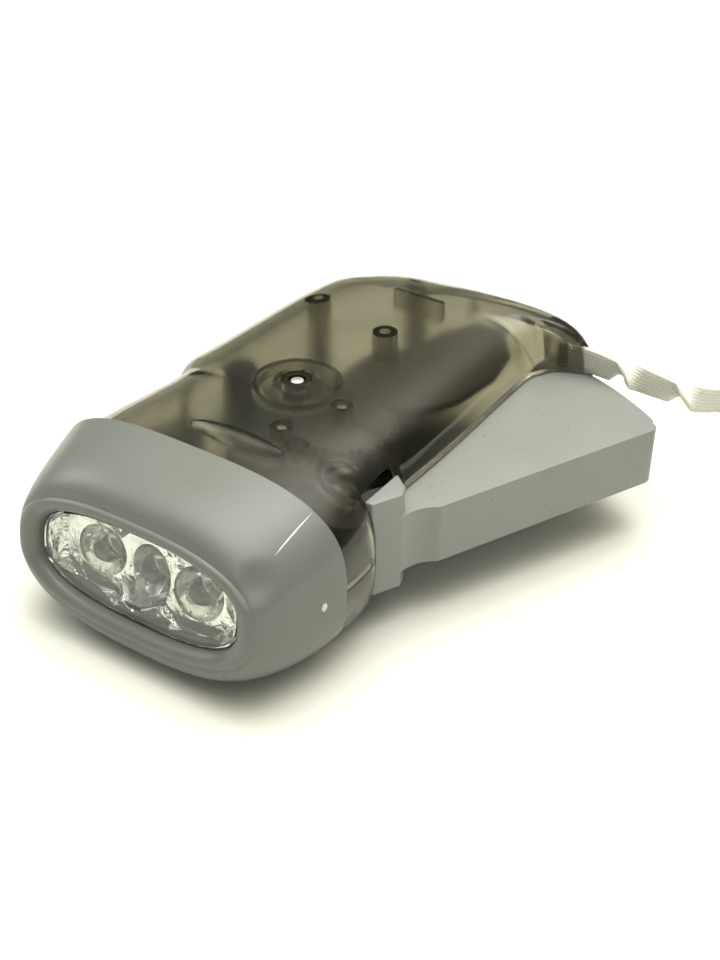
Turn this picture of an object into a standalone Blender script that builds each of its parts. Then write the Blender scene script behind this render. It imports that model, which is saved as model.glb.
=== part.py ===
# Squeeze dynamo torch: pale grey head and lever, smoke shell, gear train and generator inside.
# Frame: +X towards the lever, -Y out of the lens, +Z up, table at z = 0.
# All lengths are in metres and measured from the lens opening until the final move.

import bpy
import bmesh
from math import acos, atan2, cos, pi, sin, sqrt, tan
from mathutils import Vector

# Clearances
SEAT_GAP = 0.0003
RUN_GAP = 0.0005
CUT_OVERRUN = 0.002
WELD_DISTANCE = 0.00001

# The row origin lies this far behind the lens opening, under the body.
ORIGIN_Y = 0.0480

# Head moulding
HEAD_HALF_WIDTH = 0.0300
HEAD_HALF_HEIGHT = 0.0167
HEAD_WALL = 0.0018
UNDERSIDE_FLAT = 0.0004
MIDPLANE = HEAD_HALF_HEIGHT - UNDERSIDE_FLAT
SEAM_Y = 0.0165
LIP_FRONT_Y = -0.0008
LIP_HALF_WIDTH = 0.0247
LIP_HALF_HEIGHT = 0.0107
LIP_DEPTH = 0.0010
LIP_ROLL_SHARES = ((0.10, -0.42), (0.26, -0.70), (0.46, -0.72), (0.68, -0.42), (0.88, 0.12), (1.0, 1.0))
LENS_HALF_WIDTH = 0.0209
LENS_HALF_HEIGHT = 0.0083
LENS_TILT = 0.19
SLEEVE_WALL = 0.0012
SLEEVE_START = 0.0024
SLEEVE_END = 0.0090
SECTION_POWER = 3.1
HEAD_FRONT_POWER = 2.73
LENS_POWER = 3.2
HEAD_WIDTH_POWER = 1.27
HEAD_HEIGHT_POWER = 2.43
HEAD_CURVE_SHARES = (0.0, 0.03, 0.09, 0.18, 0.30, 0.46, 0.66, 0.84, 1.0)

# Lens, reflector and lamps
LENS_INSET = 0.0005
LENS_THICKNESS = 0.0012
REFLECTOR_DEPTH = 0.0068
CUP_RADIUS = 0.0072
CUP_NECK_RADIUS = 0.0030
CUP_DEPTH = 0.0062
CUP_SHARES = (0.0, 0.2, 0.42, 0.66, 0.88, 1.0)
LED_PITCH = 0.0102
LED_RADIUS = 0.0025
LED_FLANGE_RADIUS = 0.0029
LED_FLANGE_THICKNESS = 0.0010
LED_LENGTH = 0.0086
LED_FRONT = 0.0032
LED_BOARD_HALF_WIDTH = 0.0175
LED_BOARD_HALF_HEIGHT = 0.0062
LED_BOARD_THICKNESS = 0.0014

# Smoke shell
SHELL_HALF_WIDTH = 0.0272
SHELL_TOP_STEP = 0.0008
SHELL_TOP_HEIGHT = HEAD_HALF_HEIGHT - SHELL_TOP_STEP
SHELL_BOTTOM_HEIGHT = HEAD_HALF_HEIGHT
SHELL_WALL = 0.0018
LIMIT_SHARE = 0.4
SHELL_EDGE_LENGTH = 0.0160
SHELL_FRONT_Y = 0.0168
SHELL_SPINE_END_Y = 0.0830
SHELL_REAR_Y = 0.0991
SPIGOT_FRONT_Y = 0.0100
SPIGOT_SIDE_GAP = 0.0005
SPIGOT_TOP_GAP = 0.0006
SPIGOT_SIDE_TAPER = 0.0015
SPIGOT_TOP_TAPER = 0.0013
SPIGOT_HALF_WIDTH = HEAD_HALF_WIDTH - HEAD_WALL - SPIGOT_SIDE_GAP
SPIGOT_HALF_HEIGHT = HEAD_HALF_HEIGHT - HEAD_WALL - SPIGOT_TOP_GAP
SPIGOT_FRONT_HALF_WIDTH = SPIGOT_HALF_WIDTH - SPIGOT_SIDE_TAPER
SPIGOT_FRONT_HALF_HEIGHT = SPIGOT_HALF_HEIGHT - SPIGOT_TOP_TAPER
PARTING_GAP = 0.0003

# Share of the straight part's length, left width, right width, rounded edge length.
SHELL_SIDE_SHARES = (
    (0.000, 1.066, 1.095, 1.85),
    (0.047, 1.037, 1.100, 1.75),
    (0.122, 0.993, 1.085, 1.50),
    (0.160, 0.967, 1.050, 1.38),
    (0.206, 0.937, 1.025, 1.24),
    (0.259, 0.902, 1.005, 1.10),
    (0.312, 0.882, 0.996, 1.00),
    (0.339, 0.880, 0.994, 1.00),
    (0.365, 0.929, 0.994, 1.00),
    (0.402, 0.956, 0.996, 1.00),
    (0.500, 0.943, 1.000, 1.00),
    (0.652, 0.929, 0.995, 1.00),
    (0.803, 0.913, 0.985, 1.00),
    (0.924, 0.886, 0.982, 1.00),
    (1.000, 0.842, 0.985, 1.00),
)
# Rear outline from the right side round to the left: width share, rear length share.
SHELL_REAR_SHARES = (
    (1.022, 0.137),
    (1.075, 0.290),
    (1.180, 0.395),
    (1.315, 0.490),
    (1.275, 0.655),
    (1.165, 0.765),
    (1.030, 0.830),
    (0.880, 0.878),
    (0.700, 0.918),
    (0.463, 0.966),
    (0.202, 0.985),
    (-0.037, 0.960),
    (-0.268, 0.870),
    (-0.460, 0.730),
    (-0.607, 0.534),
    (-0.728, 0.298),
)
SHELL_RISE_SHARES = (0.0, 0.012, 0.042, 0.100, 0.190, 0.330, 0.560, 1.0)

# Lever pivot, slot and window in the side wall
PIVOT_X = 0.0217
PIVOT_Y = 0.0275
SLOT_HALF_HEIGHT = SHELL_TOP_HEIGHT * 0.39
SLOT_START_Y = 0.0380
SLOT_REACH = 0.0672
WINDOW_START_Y = 0.0262
WINDOW_TOP = SHELL_TOP_HEIGHT * 0.717
WINDOW_BOTTOM = SHELL_BOTTOM_HEIGHT * 0.5868
SLOT_INNER_X = 0.0190
SLOT_OUTER_X = 0.0600

# Squeeze lever
LEVER_HALF_HEIGHT = SLOT_HALF_HEIGHT - RUN_GAP
LEVER_WALL = 0.0020
LEVER_INNER_X = 0.0243
LEVER_REAR_REACH = 0.0662
LEVER_CORNER_REACH = 0.0626
LEVER_CORNER_ANGLE = 1.027
LEVER_REACH_FULL_ANGLE = 1.53
LEVER_FRONT_X = 0.0340
LEVER_FRONT_Y = 0.0379
LEVER_HOLLOW_START_Y = 0.0400
LEVER_HUB_RADIUS = 0.0046
LEVER_HUB_TOP = LEVER_HALF_HEIGHT
LEVER_HUB_BOTTOM = SHELL_BOTTOM_HEIGHT * 0.515
LEVER_BORE_RADIUS = 0.0016
LEVER_EDGE_RADIUS = 0.0006
BLOCK_TOP_GAP = 0.0012
BLOCK_TOP = WINDOW_TOP - BLOCK_TOP_GAP
BLOCK_FRONT_X = 0.0279
BLOCK_FRONT_Y = 0.0268
BLOCK_SIDE_X = 0.0304
BLOCK_SIDE_Y = 0.0318
BLOCK_BACK_X = 0.0295
BLOCK_BACK_Y = 0.0341
BLOCK_REAR_X = 0.0268
BLOCK_REAR_Y = 0.0362
BLOCK_INNER_OFFSET = 0.0047
SECTOR_LOW = SHELL_TOP_HEIGHT * 0.063
SECTOR_HIGH = SHELL_TOP_HEIGHT * 0.2893
SECTOR_FIRST_TOOTH = -2
SECTOR_LAST_TOOTH = 3

# Pivot pin, spring and bosses
PIN_RADIUS = 0.00125
PIN_TOP = SHELL_TOP_HEIGHT * 0.679
PIN_BOTTOM = SHELL_BOTTOM_HEIGHT * 0.6347
BOSS_RADIUS = 0.0032
BOSS_BORE_RADIUS = 0.00155
PIVOT_BOSS_START = SHELL_TOP_HEIGHT * 0.5535
SPRING_RADIUS = 0.0024
SPRING_WIRE_RADIUS = 0.00035
SPRING_POCKET_RADIUS = 0.0032
SPRING_POCKET_DEPTH = 0.0042
SPRING_TURNS = 3
SPRING_PITCH = 0.0010

# Gear train
SECTOR_MODULE = 0.0007
SECTOR_TEETH = 36
FIRST_PINION_TEETH = 9
MIDDLE_MODULE = 0.0006
FIRST_WHEEL_TEETH = 31
SECOND_PINION_TEETH = 9
LAST_MODULE = 0.0005
SECOND_WHEEL_TEETH = 36
ROTOR_PINION_TEETH = 9
FIRST_GEAR_BEARING = 2.885
PRESSURE_ANGLE = 0.349
TOOTH_THICKNESS_SHARE = 0.36
TOOTH_FOOT_SHARE = 1.20
TOOTH_HEAD_SHARE = 0.85
FLANK_SHARES = (0.0, 0.55, 1.0)
AXLE_RADIUS = 0.0008
AXLE_BORE_RADIUS = 0.0011
AXLE_TOP = SHELL_TOP_HEIGHT - SHELL_WALL - SEAT_GAP
AXLE_SEAT = 0.0021
AXLE_BOTTOM = MIDPLANE - AXLE_SEAT
AXLE_HEAD_RADIUS = 0.0016
AXLE_HEAD_THICKNESS = 0.0007
FIRST_PINION_LOW = SHELL_TOP_HEIGHT * 0.0566
FIRST_PINION_HIGH = SHELL_TOP_HEIGHT * 0.3145
WHEEL_LAYER = SHELL_TOP_HEIGHT * 0.3962
WHEEL_THICKNESS = SHELL_TOP_HEIGHT * 0.1258
LAST_LAYER = SHELL_TOP_HEIGHT * 0.5597
LAST_THICKNESS = SHELL_TOP_HEIGHT * 0.1006
GEAR_HUB_RADIUS = 0.0019

# Rotor and generator
ROTOR_X = 0.0
ROTOR_Y = 0.0448
SHAFT_RADIUS = 0.0012
SHAFT_TOP = SHELL_TOP_HEIGHT - 2 * SEAT_GAP
SHAFT_SEAT = 0.0017
SHAFT_BOTTOM = MIDPLANE - SHAFT_SEAT
PINION_COLLAR_RADIUS = 0.0019
PRESS_GAP = 0.00005
BUSH_RADIUS = 0.0026
BUSH_BORE_RADIUS = 0.0015
BUSH_TOP = SHELL_TOP_HEIGHT - SEAT_GAP
BUSH_LENGTH = SHELL_TOP_HEIGHT * 0.2264
FLYWHEEL_RADIUS = 0.0124
FLYWHEEL_THICKNESS = SHELL_BOTTOM_HEIGHT * 0.1677
FLYWHEEL_BOTTOM = -SHELL_BOTTOM_HEIGHT * 0.1437
FLYWHEEL_RIM = 0.0024
FLYWHEEL_WEB_SHARE = 0.45
MAGNET_RADIUS = 0.0062
MAGNET_TOP = -SHELL_BOTTOM_HEIGHT * 0.2036
MAGNET_HEIGHT = SHELL_BOTTOM_HEIGHT * 0.4431
YOKE_RADIUS = 0.0118
YOKE_THICKNESS = 0.0008
YOKE_INNER_RADIUS = 0.0074
YOKE_HEIGHT = SHELL_BOTTOM_HEIGHT * 0.479
YOKE_TOP = -SHELL_BOTTOM_HEIGHT * 0.2515
CLAW_COUNT = 4
CLAW_HEIGHT = YOKE_HEIGHT / 2
CLAW_WIDTH = 0.0026
CLAW_THICKNESS = 0.0007
BOBBIN_INNER_RADIUS = 0.0084
BOBBIN_OUTER_RADIUS = 0.0107
BOBBIN_FLANGE = 0.0006
BOBBIN_WALL = 0.0006

# Shell fittings
RING_BOSS_RADIUS = 0.0081
RING_BOSS_WALL = 0.0013
RING_BOSS_DROP = 0.0020
POST_X = 0.0029
POST_Y = 0.0686
POST_RADIUS = 0.0024
SCREW_POST_RADIUS = 0.0028
REAR_POST_X = -0.0155
REAR_POST_Y = 0.0730
END_POST_X = -0.0050
END_POST_Y = 0.0925
FIRST_BOSS_RADIUS = 0.0020
SMALL_BOSS_X = 0.0118
SMALL_BOSS_Y = 0.0285
RIB_Y = 0.0846
RIB_X = 0.0004
RIB_LENGTH = 0.0110
RIB_THICKNESS = 0.0012
RIB_DROP = 0.0060
REAR_RIB_X = 0.0065
REAR_RIB_Y = 0.0956
REAR_RIB_DROP = 0.0095
SNAP_X = 0.0034
SNAP_Y = 0.0233
SNAP_LENGTH = 0.0180
SNAP_WIDTH = 0.0026
SNAP_DEPTH = 0.0007
SCREW_RADIUS = 0.00075
SCREW_HEAD_RADIUS = 0.0018
SCREW_HEAD_HEIGHT = 0.0012
SCREW_SINK = 0.0022
SCREW_BITE = 0.0045
SCREW_LENGTH = MIDPLANE + SCREW_BITE - SCREW_SINK - SCREW_HEAD_HEIGHT

# Control board, cell, switch
BOARD_X = -0.0174
BOARD_Y = 0.0560
BOARD_LENGTH = 0.0240
BOARD_WIDTH = 0.0100
BOARD_THICKNESS = 0.0012
BOARD_TOP = -SHELL_BOTTOM_HEIGHT * 0.1796
BOARD_POST_RADIUS = 0.0014
CAPACITOR_RADIUS = 0.0035
CAPACITOR_HEIGHT = SHELL_TOP_HEIGHT * 0.7547
CAPACITOR_Y = 0.0500
CHIP_LENGTH = 0.0050
CHIP_WIDTH = 0.0040
CHIP_HEIGHT = 0.0016
CELL_RADIUS = 0.0095
CELL_HEIGHT = 0.0032
CELL_X = -0.0122
CELL_Y = 0.0250
CELL_BOTTOM = -SHELL_BOTTOM_HEIGHT * 0.6228
CELL_TRAY_WALL = 0.0012
SWITCH_Y = 0.0325
SWITCH_X = -0.0246
SLIDER_LENGTH = 0.0060
SLIDER_HEIGHT = 0.0040
SLIDER_PROUD = 0.0012
SLIDER_TRAVEL = 0.0020
SLIDER_PLATE = 0.0010
SLIDER_STEP = 0.0010
SLIDER_OVERLAP = 0.0012
SWITCH_BODY_LENGTH = 0.0110
SWITCH_BODY_WIDTH = 0.0040
SWITCH_BODY_HEIGHT = 0.0060
SWITCH_POST_Y = 0.0372

# Wrist strap: route shares are x and y of the reach, z of the drop to the table, then quarter turns.
STRAP_WIDTH = 0.0050
STRAP_THICKNESS = 0.0009
STRAP_START_X = 0.0284
STRAP_START_Y = 0.0909
STRAP_REST_GAP = 0.0002
STRAP_START_Z = SLOT_HALF_HEIGHT + STRAP_WIDTH / 2 + STRAP_REST_GAP / 2
STRAP_DROP = MIDPLANE + STRAP_START_Z - STRAP_WIDTH / 2 - STRAP_REST_GAP
STRAP_HOLE_WIDTH = 0.0016
STRAP_REACH = 0.0500
STRAP_BENDS = 2
STRAP_ROUTE_SHARES = (
    (0.000, 0.000, 0.000, 0.0),
    (0.092, -0.002, 0.000, 0.0),
    (0.172, -0.006, -0.004, 0.0),
    (0.224, 0.002, -0.027, 0.1),
    (0.270, 0.022, -0.058, 1.0),
    (0.318, 0.042, -0.089, 1.9),
    (0.378, 0.060, -0.125, 2.0),
    (0.438, 0.078, -0.161, 2.1),
    (0.484, 0.094, -0.192, 3.0),
    (0.522, 0.130, -0.232, 3.9),
    (0.552, 0.182, -0.277, 4.0),
    (0.588, 0.252, -0.335, 4.0),
    (0.672, 0.332, -0.504, 4.0),
    (0.792, 0.374, -0.772, 4.0),
    (0.932, 0.382, -0.982, 4.0),
    (1.032, 0.382, -1.000, 4.0),
    (1.112, 0.386, -1.000, 4.0),
    (1.232, 0.422, -1.000, 4.0),
    (1.392, 0.492, -1.000, 4.0),
    (1.572, 0.522, -1.000, 4.0),
    (1.732, 0.452, -1.000, 4.0),
    (1.812, 0.302, -1.000, 4.0),
    (1.772, 0.132, -1.000, 4.0),
    (1.632, 0.022, -1.000, 4.0),
    (1.452, 0.032, -1.000, 4.0),
    (1.312, 0.142, -1.000, 4.0),
    (1.212, 0.272, -1.000, 4.0),
    (1.132, 0.340, -1.000, 4.0),
    (1.062, 0.357, -1.000, 4.0),
    (1.012, 0.358, -1.000, 4.0),
    (0.972, 0.358, -1.000, 4.0),
)
ANCHOR_X = 0.0278
ANCHOR_Y = 0.0920
ANCHOR_LENGTH = 0.0055
ANCHOR_DEPTH = 0.0050

# Facet counts and angles
ROUND_STEPS = 28
AXLE_STEPS = 16
HEAD_STEPS = 48
CUP_STEPS = 24
LED_STEPS = 16
LED_DOME_STEPS = 4
SPRING_STEPS = 16
SLOT_STEPS = 12
SNAP_STEPS = 8
CLAW_STEPS = 3
SECTOR_CORE_STEPS = 6
LEVER_REAR_STEPS = 8
LEVER_CURVE_STEPS = 6
SHARP_ANGLE = 0.6
BEVEL_ANGLE = 0.7


def clear_objects():
    for item in list(bpy.data.objects):
        bpy.data.objects.remove(item, do_unlink=True)


def linear_colour(red, green, blue):
    levels = []
    for value in (red, green, blue):
        share = value / 255
        levels.append(share / 12.92 if share <= 0.04045 else ((share + 0.055) / 1.055) ** 2.4)
    return (levels[0], levels[1], levels[2], 1.0)


def make_material(name, colour, roughness, metallic, transmission=0.0):
    material = bpy.data.materials.new(name)
    material.use_nodes = True
    shader = material.node_tree.nodes["Principled BSDF"]
    shader.inputs["Base Color"].default_value = linear_colour(*colour)
    shader.inputs["Roughness"].default_value = roughness
    shader.inputs["Metallic"].default_value = metallic
    shader.inputs["Transmission Weight"].default_value = transmission
    return material


def grey_plastic():
    return make_material("warm_grey_abs", (164, 167, 157), 0.42, 0.0)


def smoke_plastic():
    return make_material("smoke_polycarbonate", (96, 88, 66), 0.18, 0.0, 0.85)


def clear_plastic():
    return make_material("clear_polycarbonate", (240, 243, 242), 0.05, 0.0, 1.0)


def bright_chrome():
    return make_material("vacuum_metallised_plastic", (226, 228, 228), 0.12, 1.0)


def clear_epoxy():
    return make_material("clear_epoxy", (232, 236, 234), 0.08, 0.0, 0.9)


def green_laminate():
    return make_material("glass_fibre_laminate", (38, 84, 52), 0.5, 0.0)


def nylon_dark():
    return make_material("black_acetal", (32, 33, 34), 0.45, 0.0)


def turned_steel():
    return make_material("turned_steel", (190, 192, 194), 0.28, 1.0)


def zinc_casting():
    return make_material("zinc_casting", (120, 122, 124), 0.45, 1.0)


def dark_ferrite():
    return make_material("sintered_ferrite", (44, 44, 46), 0.7, 0.2)


def rolled_iron():
    return make_material("rolled_iron", (142, 144, 146), 0.38, 1.0)


def enamelled_copper():
    return make_material("enamelled_copper", (164, 86, 40), 0.35, 0.9)


def bearing_bronze():
    return make_material("oiled_bronze", (92, 74, 46), 0.4, 1.0)


def cell_steel():
    return make_material("nickel_plated_steel", (198, 198, 192), 0.25, 1.0)


def sleeve_blue():
    return make_material("dark_shrink_sleeve", (34, 40, 58), 0.35, 0.0)


def woven_nylon():
    return make_material("woven_nylon", (168, 166, 150), 0.75, 0.0)


def make_object(name, bm, material, origin=(0.0, 0.0, 0.0), outward=True):
    bmesh.ops.remove_doubles(bm, verts=bm.verts, dist=WELD_DISTANCE)
    if outward:
        bmesh.ops.recalc_face_normals(bm, faces=bm.faces)
    bmesh.ops.translate(bm, verts=bm.verts, vec=-Vector(origin))
    mesh = bpy.data.meshes.new(name)
    bm.to_mesh(mesh)
    bm.free()
    for polygon in mesh.polygons:
        polygon.use_smooth = True
    mesh.set_sharp_from_angle(angle=SHARP_ANGLE)
    if material is not None:
        mesh.materials.append(material)
    item = bpy.data.objects.new(name, mesh)
    item.location = origin
    bpy.context.scene.collection.objects.link(item)
    return item


def add_boolean(target, tool, operation):
    modifier = target.modifiers.new(tool.name, "BOOLEAN")
    modifier.operation = operation
    modifier.solver = "EXACT"
    modifier.object = tool
    tool.hide_render = True
    tool.display_type = "WIRE"


def circle_points(centre_x, centre_y, radius, steps):
    points = []
    for index in range(steps):
        angle = 2 * pi * index / steps
        points.append((centre_x + radius * cos(angle), centre_y + radius * sin(angle)))
    return points


def arc_points(centre_x, centre_y, radius, start, end, steps):
    points = []
    for index in range(steps + 1):
        angle = start + (end - start) * index / steps
        points.append((centre_x + radius * cos(angle), centre_y + radius * sin(angle)))
    return points


def box_points(centre_x, centre_y, length, width):
    half_x = length / 2
    half_y = width / 2
    return [
        (centre_x - half_x, centre_y - half_y),
        (centre_x + half_x, centre_y - half_y),
        (centre_x + half_x, centre_y + half_y),
        (centre_x - half_x, centre_y + half_y),
    ]


def add_prism(bm, points, low, high):
    base = [bm.verts.new((x, y, low)) for x, y in points]
    face = bm.faces.new(base)
    result = bmesh.ops.extrude_face_region(bm, geom=[face])
    lifted = [item for item in result["geom"] if isinstance(item, bmesh.types.BMVert)]
    bmesh.ops.translate(bm, verts=lifted, vec=(0, 0, high - low))


def add_cylinder(bm, centre_x, centre_y, radius, low, high, steps):
    add_prism(bm, circle_points(centre_x, centre_y, radius, steps), low, high)


def add_revolved(bm, profile, centre_x, centre_y, steps, closed):
    verts = [bm.verts.new((centre_x + radius, centre_y, height)) for radius, height in profile]
    edges = [bm.edges.new(pair) for pair in zip(verts, verts[1:])]
    if closed:
        edges.append(bm.edges.new((verts[-1], verts[0])))
    bmesh.ops.spin(
        bm,
        geom=verts + edges,
        cent=(centre_x, centre_y, 0),
        axis=(0, 0, 1),
        angle=2 * pi,
        steps=steps,
        use_duplicate=False,
    )
    bmesh.ops.remove_doubles(bm, verts=bm.verts, dist=WELD_DISTANCE)


def prism_object(name, points, low, high, material, origin=(0.0, 0.0, 0.0)):
    bm = bmesh.new()
    add_prism(bm, points, low, high)
    return make_object(name, bm, material, origin)


def cylinder_object(name, centre_x, centre_y, radius, low, high, material, steps=ROUND_STEPS):
    points = circle_points(centre_x, centre_y, radius, steps)
    return prism_object(name, points, low, high, material, (centre_x, centre_y, low))


def revolved_object(name, profile, centre_x, centre_y, material, closed=False, steps=ROUND_STEPS):
    bm = bmesh.new()
    add_revolved(bm, profile, centre_x, centre_y, steps, closed)
    return make_object(name, bm, material, (centre_x, centre_y, 0.0))


def power_curve(share, power):
    return (1 - (1 - share) ** power) ** (1 / power)


def oval_ring(half_width, half_height, steps, power):
    ring = []
    for index in range(steps):
        angle = 2 * pi * (index + 0.5) / steps
        x = abs(cos(angle)) ** (2 / power)
        z = abs(sin(angle)) ** (2 / power)
        ring.append((
            half_width * (x if cos(angle) > 0 else -x),
            half_height * (z if sin(angle) > 0 else -z),
        ))
    return ring


def tilted(x, y, z, share=1.0):
    angle = LENS_TILT * share
    return Vector((x, y * cos(angle) + z * sin(angle), MIDPLANE - y * sin(angle) + z * cos(angle)))


def bridge_rings(bm, rings, closed_ends):
    loops = [[bm.verts.new(point) for point in ring] for ring in rings]
    pairs = list(zip(loops, loops[1:]))
    if closed_ends:
        pairs.append((loops[-1], loops[0]))
    for first, second in pairs:
        count = len(first)
        for index in range(count):
            after = (index + 1) % count
            bm.faces.new((first[index], first[after], second[after], second[index]))
    if not closed_ends:
        bm.faces.new(loops[0])
        bm.faces.new(loops[-1])


def head_outer_sizes(share):
    widening = power_curve(share, HEAD_WIDTH_POWER)
    rise = power_curve(share, HEAD_HEIGHT_POWER)
    half_width = LIP_HALF_WIDTH + (HEAD_HALF_WIDTH - LIP_HALF_WIDTH) * widening
    half_height = LIP_HALF_HEIGHT + (HEAD_HALF_HEIGHT - LIP_HALF_HEIGHT) * rise
    return half_width, half_height


def head_ring(half_width, half_height, y, share, power):
    ring = []
    for x, z in oval_ring(half_width, half_height, HEAD_STEPS, power):
        point = tilted(x, y, z, share)
        point.z = max(point.z, 0.0)
        ring.append(point)
    return ring


def head_section_power(share):
    return HEAD_FRONT_POWER + (SECTION_POWER - HEAD_FRONT_POWER) * share


def build_head(material):
    rings = []
    length = SEAM_Y - LIP_FRONT_Y
    for share in reversed(HEAD_CURVE_SHARES):
        half_width, half_height = head_outer_sizes(share)
        y = LIP_FRONT_Y + length * share
        rings.append(head_ring(half_width, half_height, y, 1 - share, head_section_power(share)))
    for across, back in LIP_ROLL_SHARES:
        half_width = LIP_HALF_WIDTH + (LENS_HALF_WIDTH - LIP_HALF_WIDTH) * across
        half_height = LIP_HALF_HEIGHT + (LENS_HALF_HEIGHT - LIP_HALF_HEIGHT) * across
        power = HEAD_FRONT_POWER + (LENS_POWER - HEAD_FRONT_POWER) * across
        rings.append(head_ring(half_width, half_height, LIP_FRONT_Y + LIP_DEPTH * back, 1, power))
    rings.append(head_ring(LENS_HALF_WIDTH, LENS_HALF_HEIGHT, SLEEVE_END, 1, LENS_POWER))
    sleeve_width = LENS_HALF_WIDTH + SLEEVE_WALL
    sleeve_height = LENS_HALF_HEIGHT + SLEEVE_WALL
    rings.append(head_ring(sleeve_width, sleeve_height, SLEEVE_END, 1, LENS_POWER))
    rings.append(head_ring(sleeve_width, sleeve_height, SLEEVE_START, 1, LENS_POWER))
    for share in HEAD_CURVE_SHARES:
        y = LIP_FRONT_Y + length * share
        if y > SLEEVE_START:
            half_width, half_height = head_outer_sizes(share)
            power = head_section_power(share)
            rings.append(head_ring(half_width - HEAD_WALL, half_height - HEAD_WALL, y, 1 - share, power))
    bm = bmesh.new()
    bridge_rings(bm, rings, True)
    return make_object("head_moulding", bm, material)


def tilted_plate(bm, half_width, half_height, front, depth, steps):
    rings = []
    for y in (front, front + depth):
        outline = oval_ring(half_width, half_height, steps, LENS_POWER)
        rings.append([tilted(x, y, z) for x, z in outline])
    bridge_rings(bm, rings, False)


def build_lens(material):
    bm = bmesh.new()
    half_width = LENS_HALF_WIDTH - SEAT_GAP
    half_height = LENS_HALF_HEIGHT - SEAT_GAP
    tilted_plate(bm, half_width, half_height, LENS_INSET, LENS_THICKNESS, HEAD_STEPS)
    return make_object("lens_window", bm, material)


def add_tilted_revolved(bm, profile, centre_x, steps):
    start = len(bm.verts)
    add_revolved(bm, profile, 0, 0, steps, False)
    bm.verts.ensure_lookup_table()
    for vert in bm.verts[start:]:
        x, z, depth = vert.co
        vert.co = tilted(x + centre_x, depth, z)


def build_reflector(material):
    front = LENS_INSET + LENS_THICKNESS + SEAT_GAP
    bm = bmesh.new()
    half_width = LENS_HALF_WIDTH - SEAT_GAP
    half_height = LENS_HALF_HEIGHT - SEAT_GAP
    tilted_plate(bm, half_width, half_height, front, REFLECTOR_DEPTH, HEAD_STEPS)
    reflector = make_object("reflector", bm, material)
    for place in (-1, 0, 1):
        profile = [(0, front - CUT_OVERRUN), (CUP_RADIUS, front - CUT_OVERRUN)]
        for share in CUP_SHARES:
            radius = CUP_NECK_RADIUS + (CUP_RADIUS - CUP_NECK_RADIUS) * sqrt(1 - share)
            profile.append((radius, front + CUP_DEPTH * share))
        profile.append((CUP_NECK_RADIUS, front + REFLECTOR_DEPTH + CUT_OVERRUN))
        profile.append((0, front + REFLECTOR_DEPTH + CUT_OVERRUN))
        cup = bmesh.new()
        add_tilted_revolved(cup, profile, place * LED_PITCH, CUP_STEPS)
        cutter = make_object("reflector_cup_cut_%d" % (place + 2), cup, None)
        add_boolean(reflector, cutter, "DIFFERENCE")
    return reflector


def build_led(place, material):
    tip = LED_FRONT
    base = tip + LED_LENGTH
    dome = []
    for index in range(LED_DOME_STEPS + 1):
        angle = pi / 2 * index / LED_DOME_STEPS
        dome.append((LED_RADIUS * sin(angle), tip + LED_RADIUS * (1 - cos(angle))))
    profile = dome + [
        (LED_RADIUS, base - LED_FLANGE_THICKNESS),
        (LED_FLANGE_RADIUS, base - LED_FLANGE_THICKNESS),
        (LED_FLANGE_RADIUS, base),
        (0, base),
    ]
    bm = bmesh.new()
    add_tilted_revolved(bm, profile, place * LED_PITCH, LED_STEPS)
    return make_object("led_%d" % (place + 2), bm, material)


def build_led_board(material):
    bm = bmesh.new()
    front = LED_FRONT + LED_LENGTH + SEAT_GAP
    corners = box_points(0, 0, 2 * LED_BOARD_HALF_WIDTH, 2 * LED_BOARD_HALF_HEIGHT)
    rings = []
    for y in (front, front + LED_BOARD_THICKNESS):
        rings.append([tilted(x, y, z) for x, z in corners])
    bridge_rings(bm, rings, False)
    return make_object("led_board", bm, material)


def shell_stations(height):
    stations = [
        (
            SPIGOT_FRONT_HALF_WIDTH,
            -SPIGOT_FRONT_HALF_WIDTH,
            SPIGOT_FRONT_Y,
            SPIGOT_FRONT_HALF_HEIGHT,
            SPIGOT_FRONT_HALF_WIDTH,
        ),
        (SPIGOT_HALF_WIDTH, -SPIGOT_HALF_WIDTH, SHELL_FRONT_Y, SPIGOT_HALF_HEIGHT, SPIGOT_HALF_WIDTH),
    ]
    length = SHELL_SPINE_END_Y - SHELL_FRONT_Y
    for along, left, right, edge in SHELL_SIDE_SHARES:
        y = SHELL_FRONT_Y + length * along
        stations.append((
            SHELL_HALF_WIDTH * right,
            -SHELL_HALF_WIDTH * left,
            y,
            height,
            SHELL_EDGE_LENGTH * edge,
        ))
    return stations


def shell_outline(height, inset):
    right = []
    left = []
    for right_x, left_x, y, rise, edge in shell_stations(height):
        right.append(((right_x - inset, y), (0.0, y), rise, edge))
        left.append(((left_x + inset, y), (0.0, y), rise, edge))
    rear = []
    length = SHELL_REAR_Y - SHELL_SPINE_END_Y
    end = (0.0, SHELL_SPINE_END_Y)
    for across, along in SHELL_REAR_SHARES:
        x = SHELL_HALF_WIDTH * across
        y = SHELL_SPINE_END_Y + length * along
        reach = sqrt(x * x + (length * along) ** 2)
        scale = 1 - inset / reach
        point = (x * scale, SHELL_SPINE_END_Y + length * along * scale)
        rear.append((point, end, height, SHELL_EDGE_LENGTH))
    return right + rear + list(reversed(left))


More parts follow.
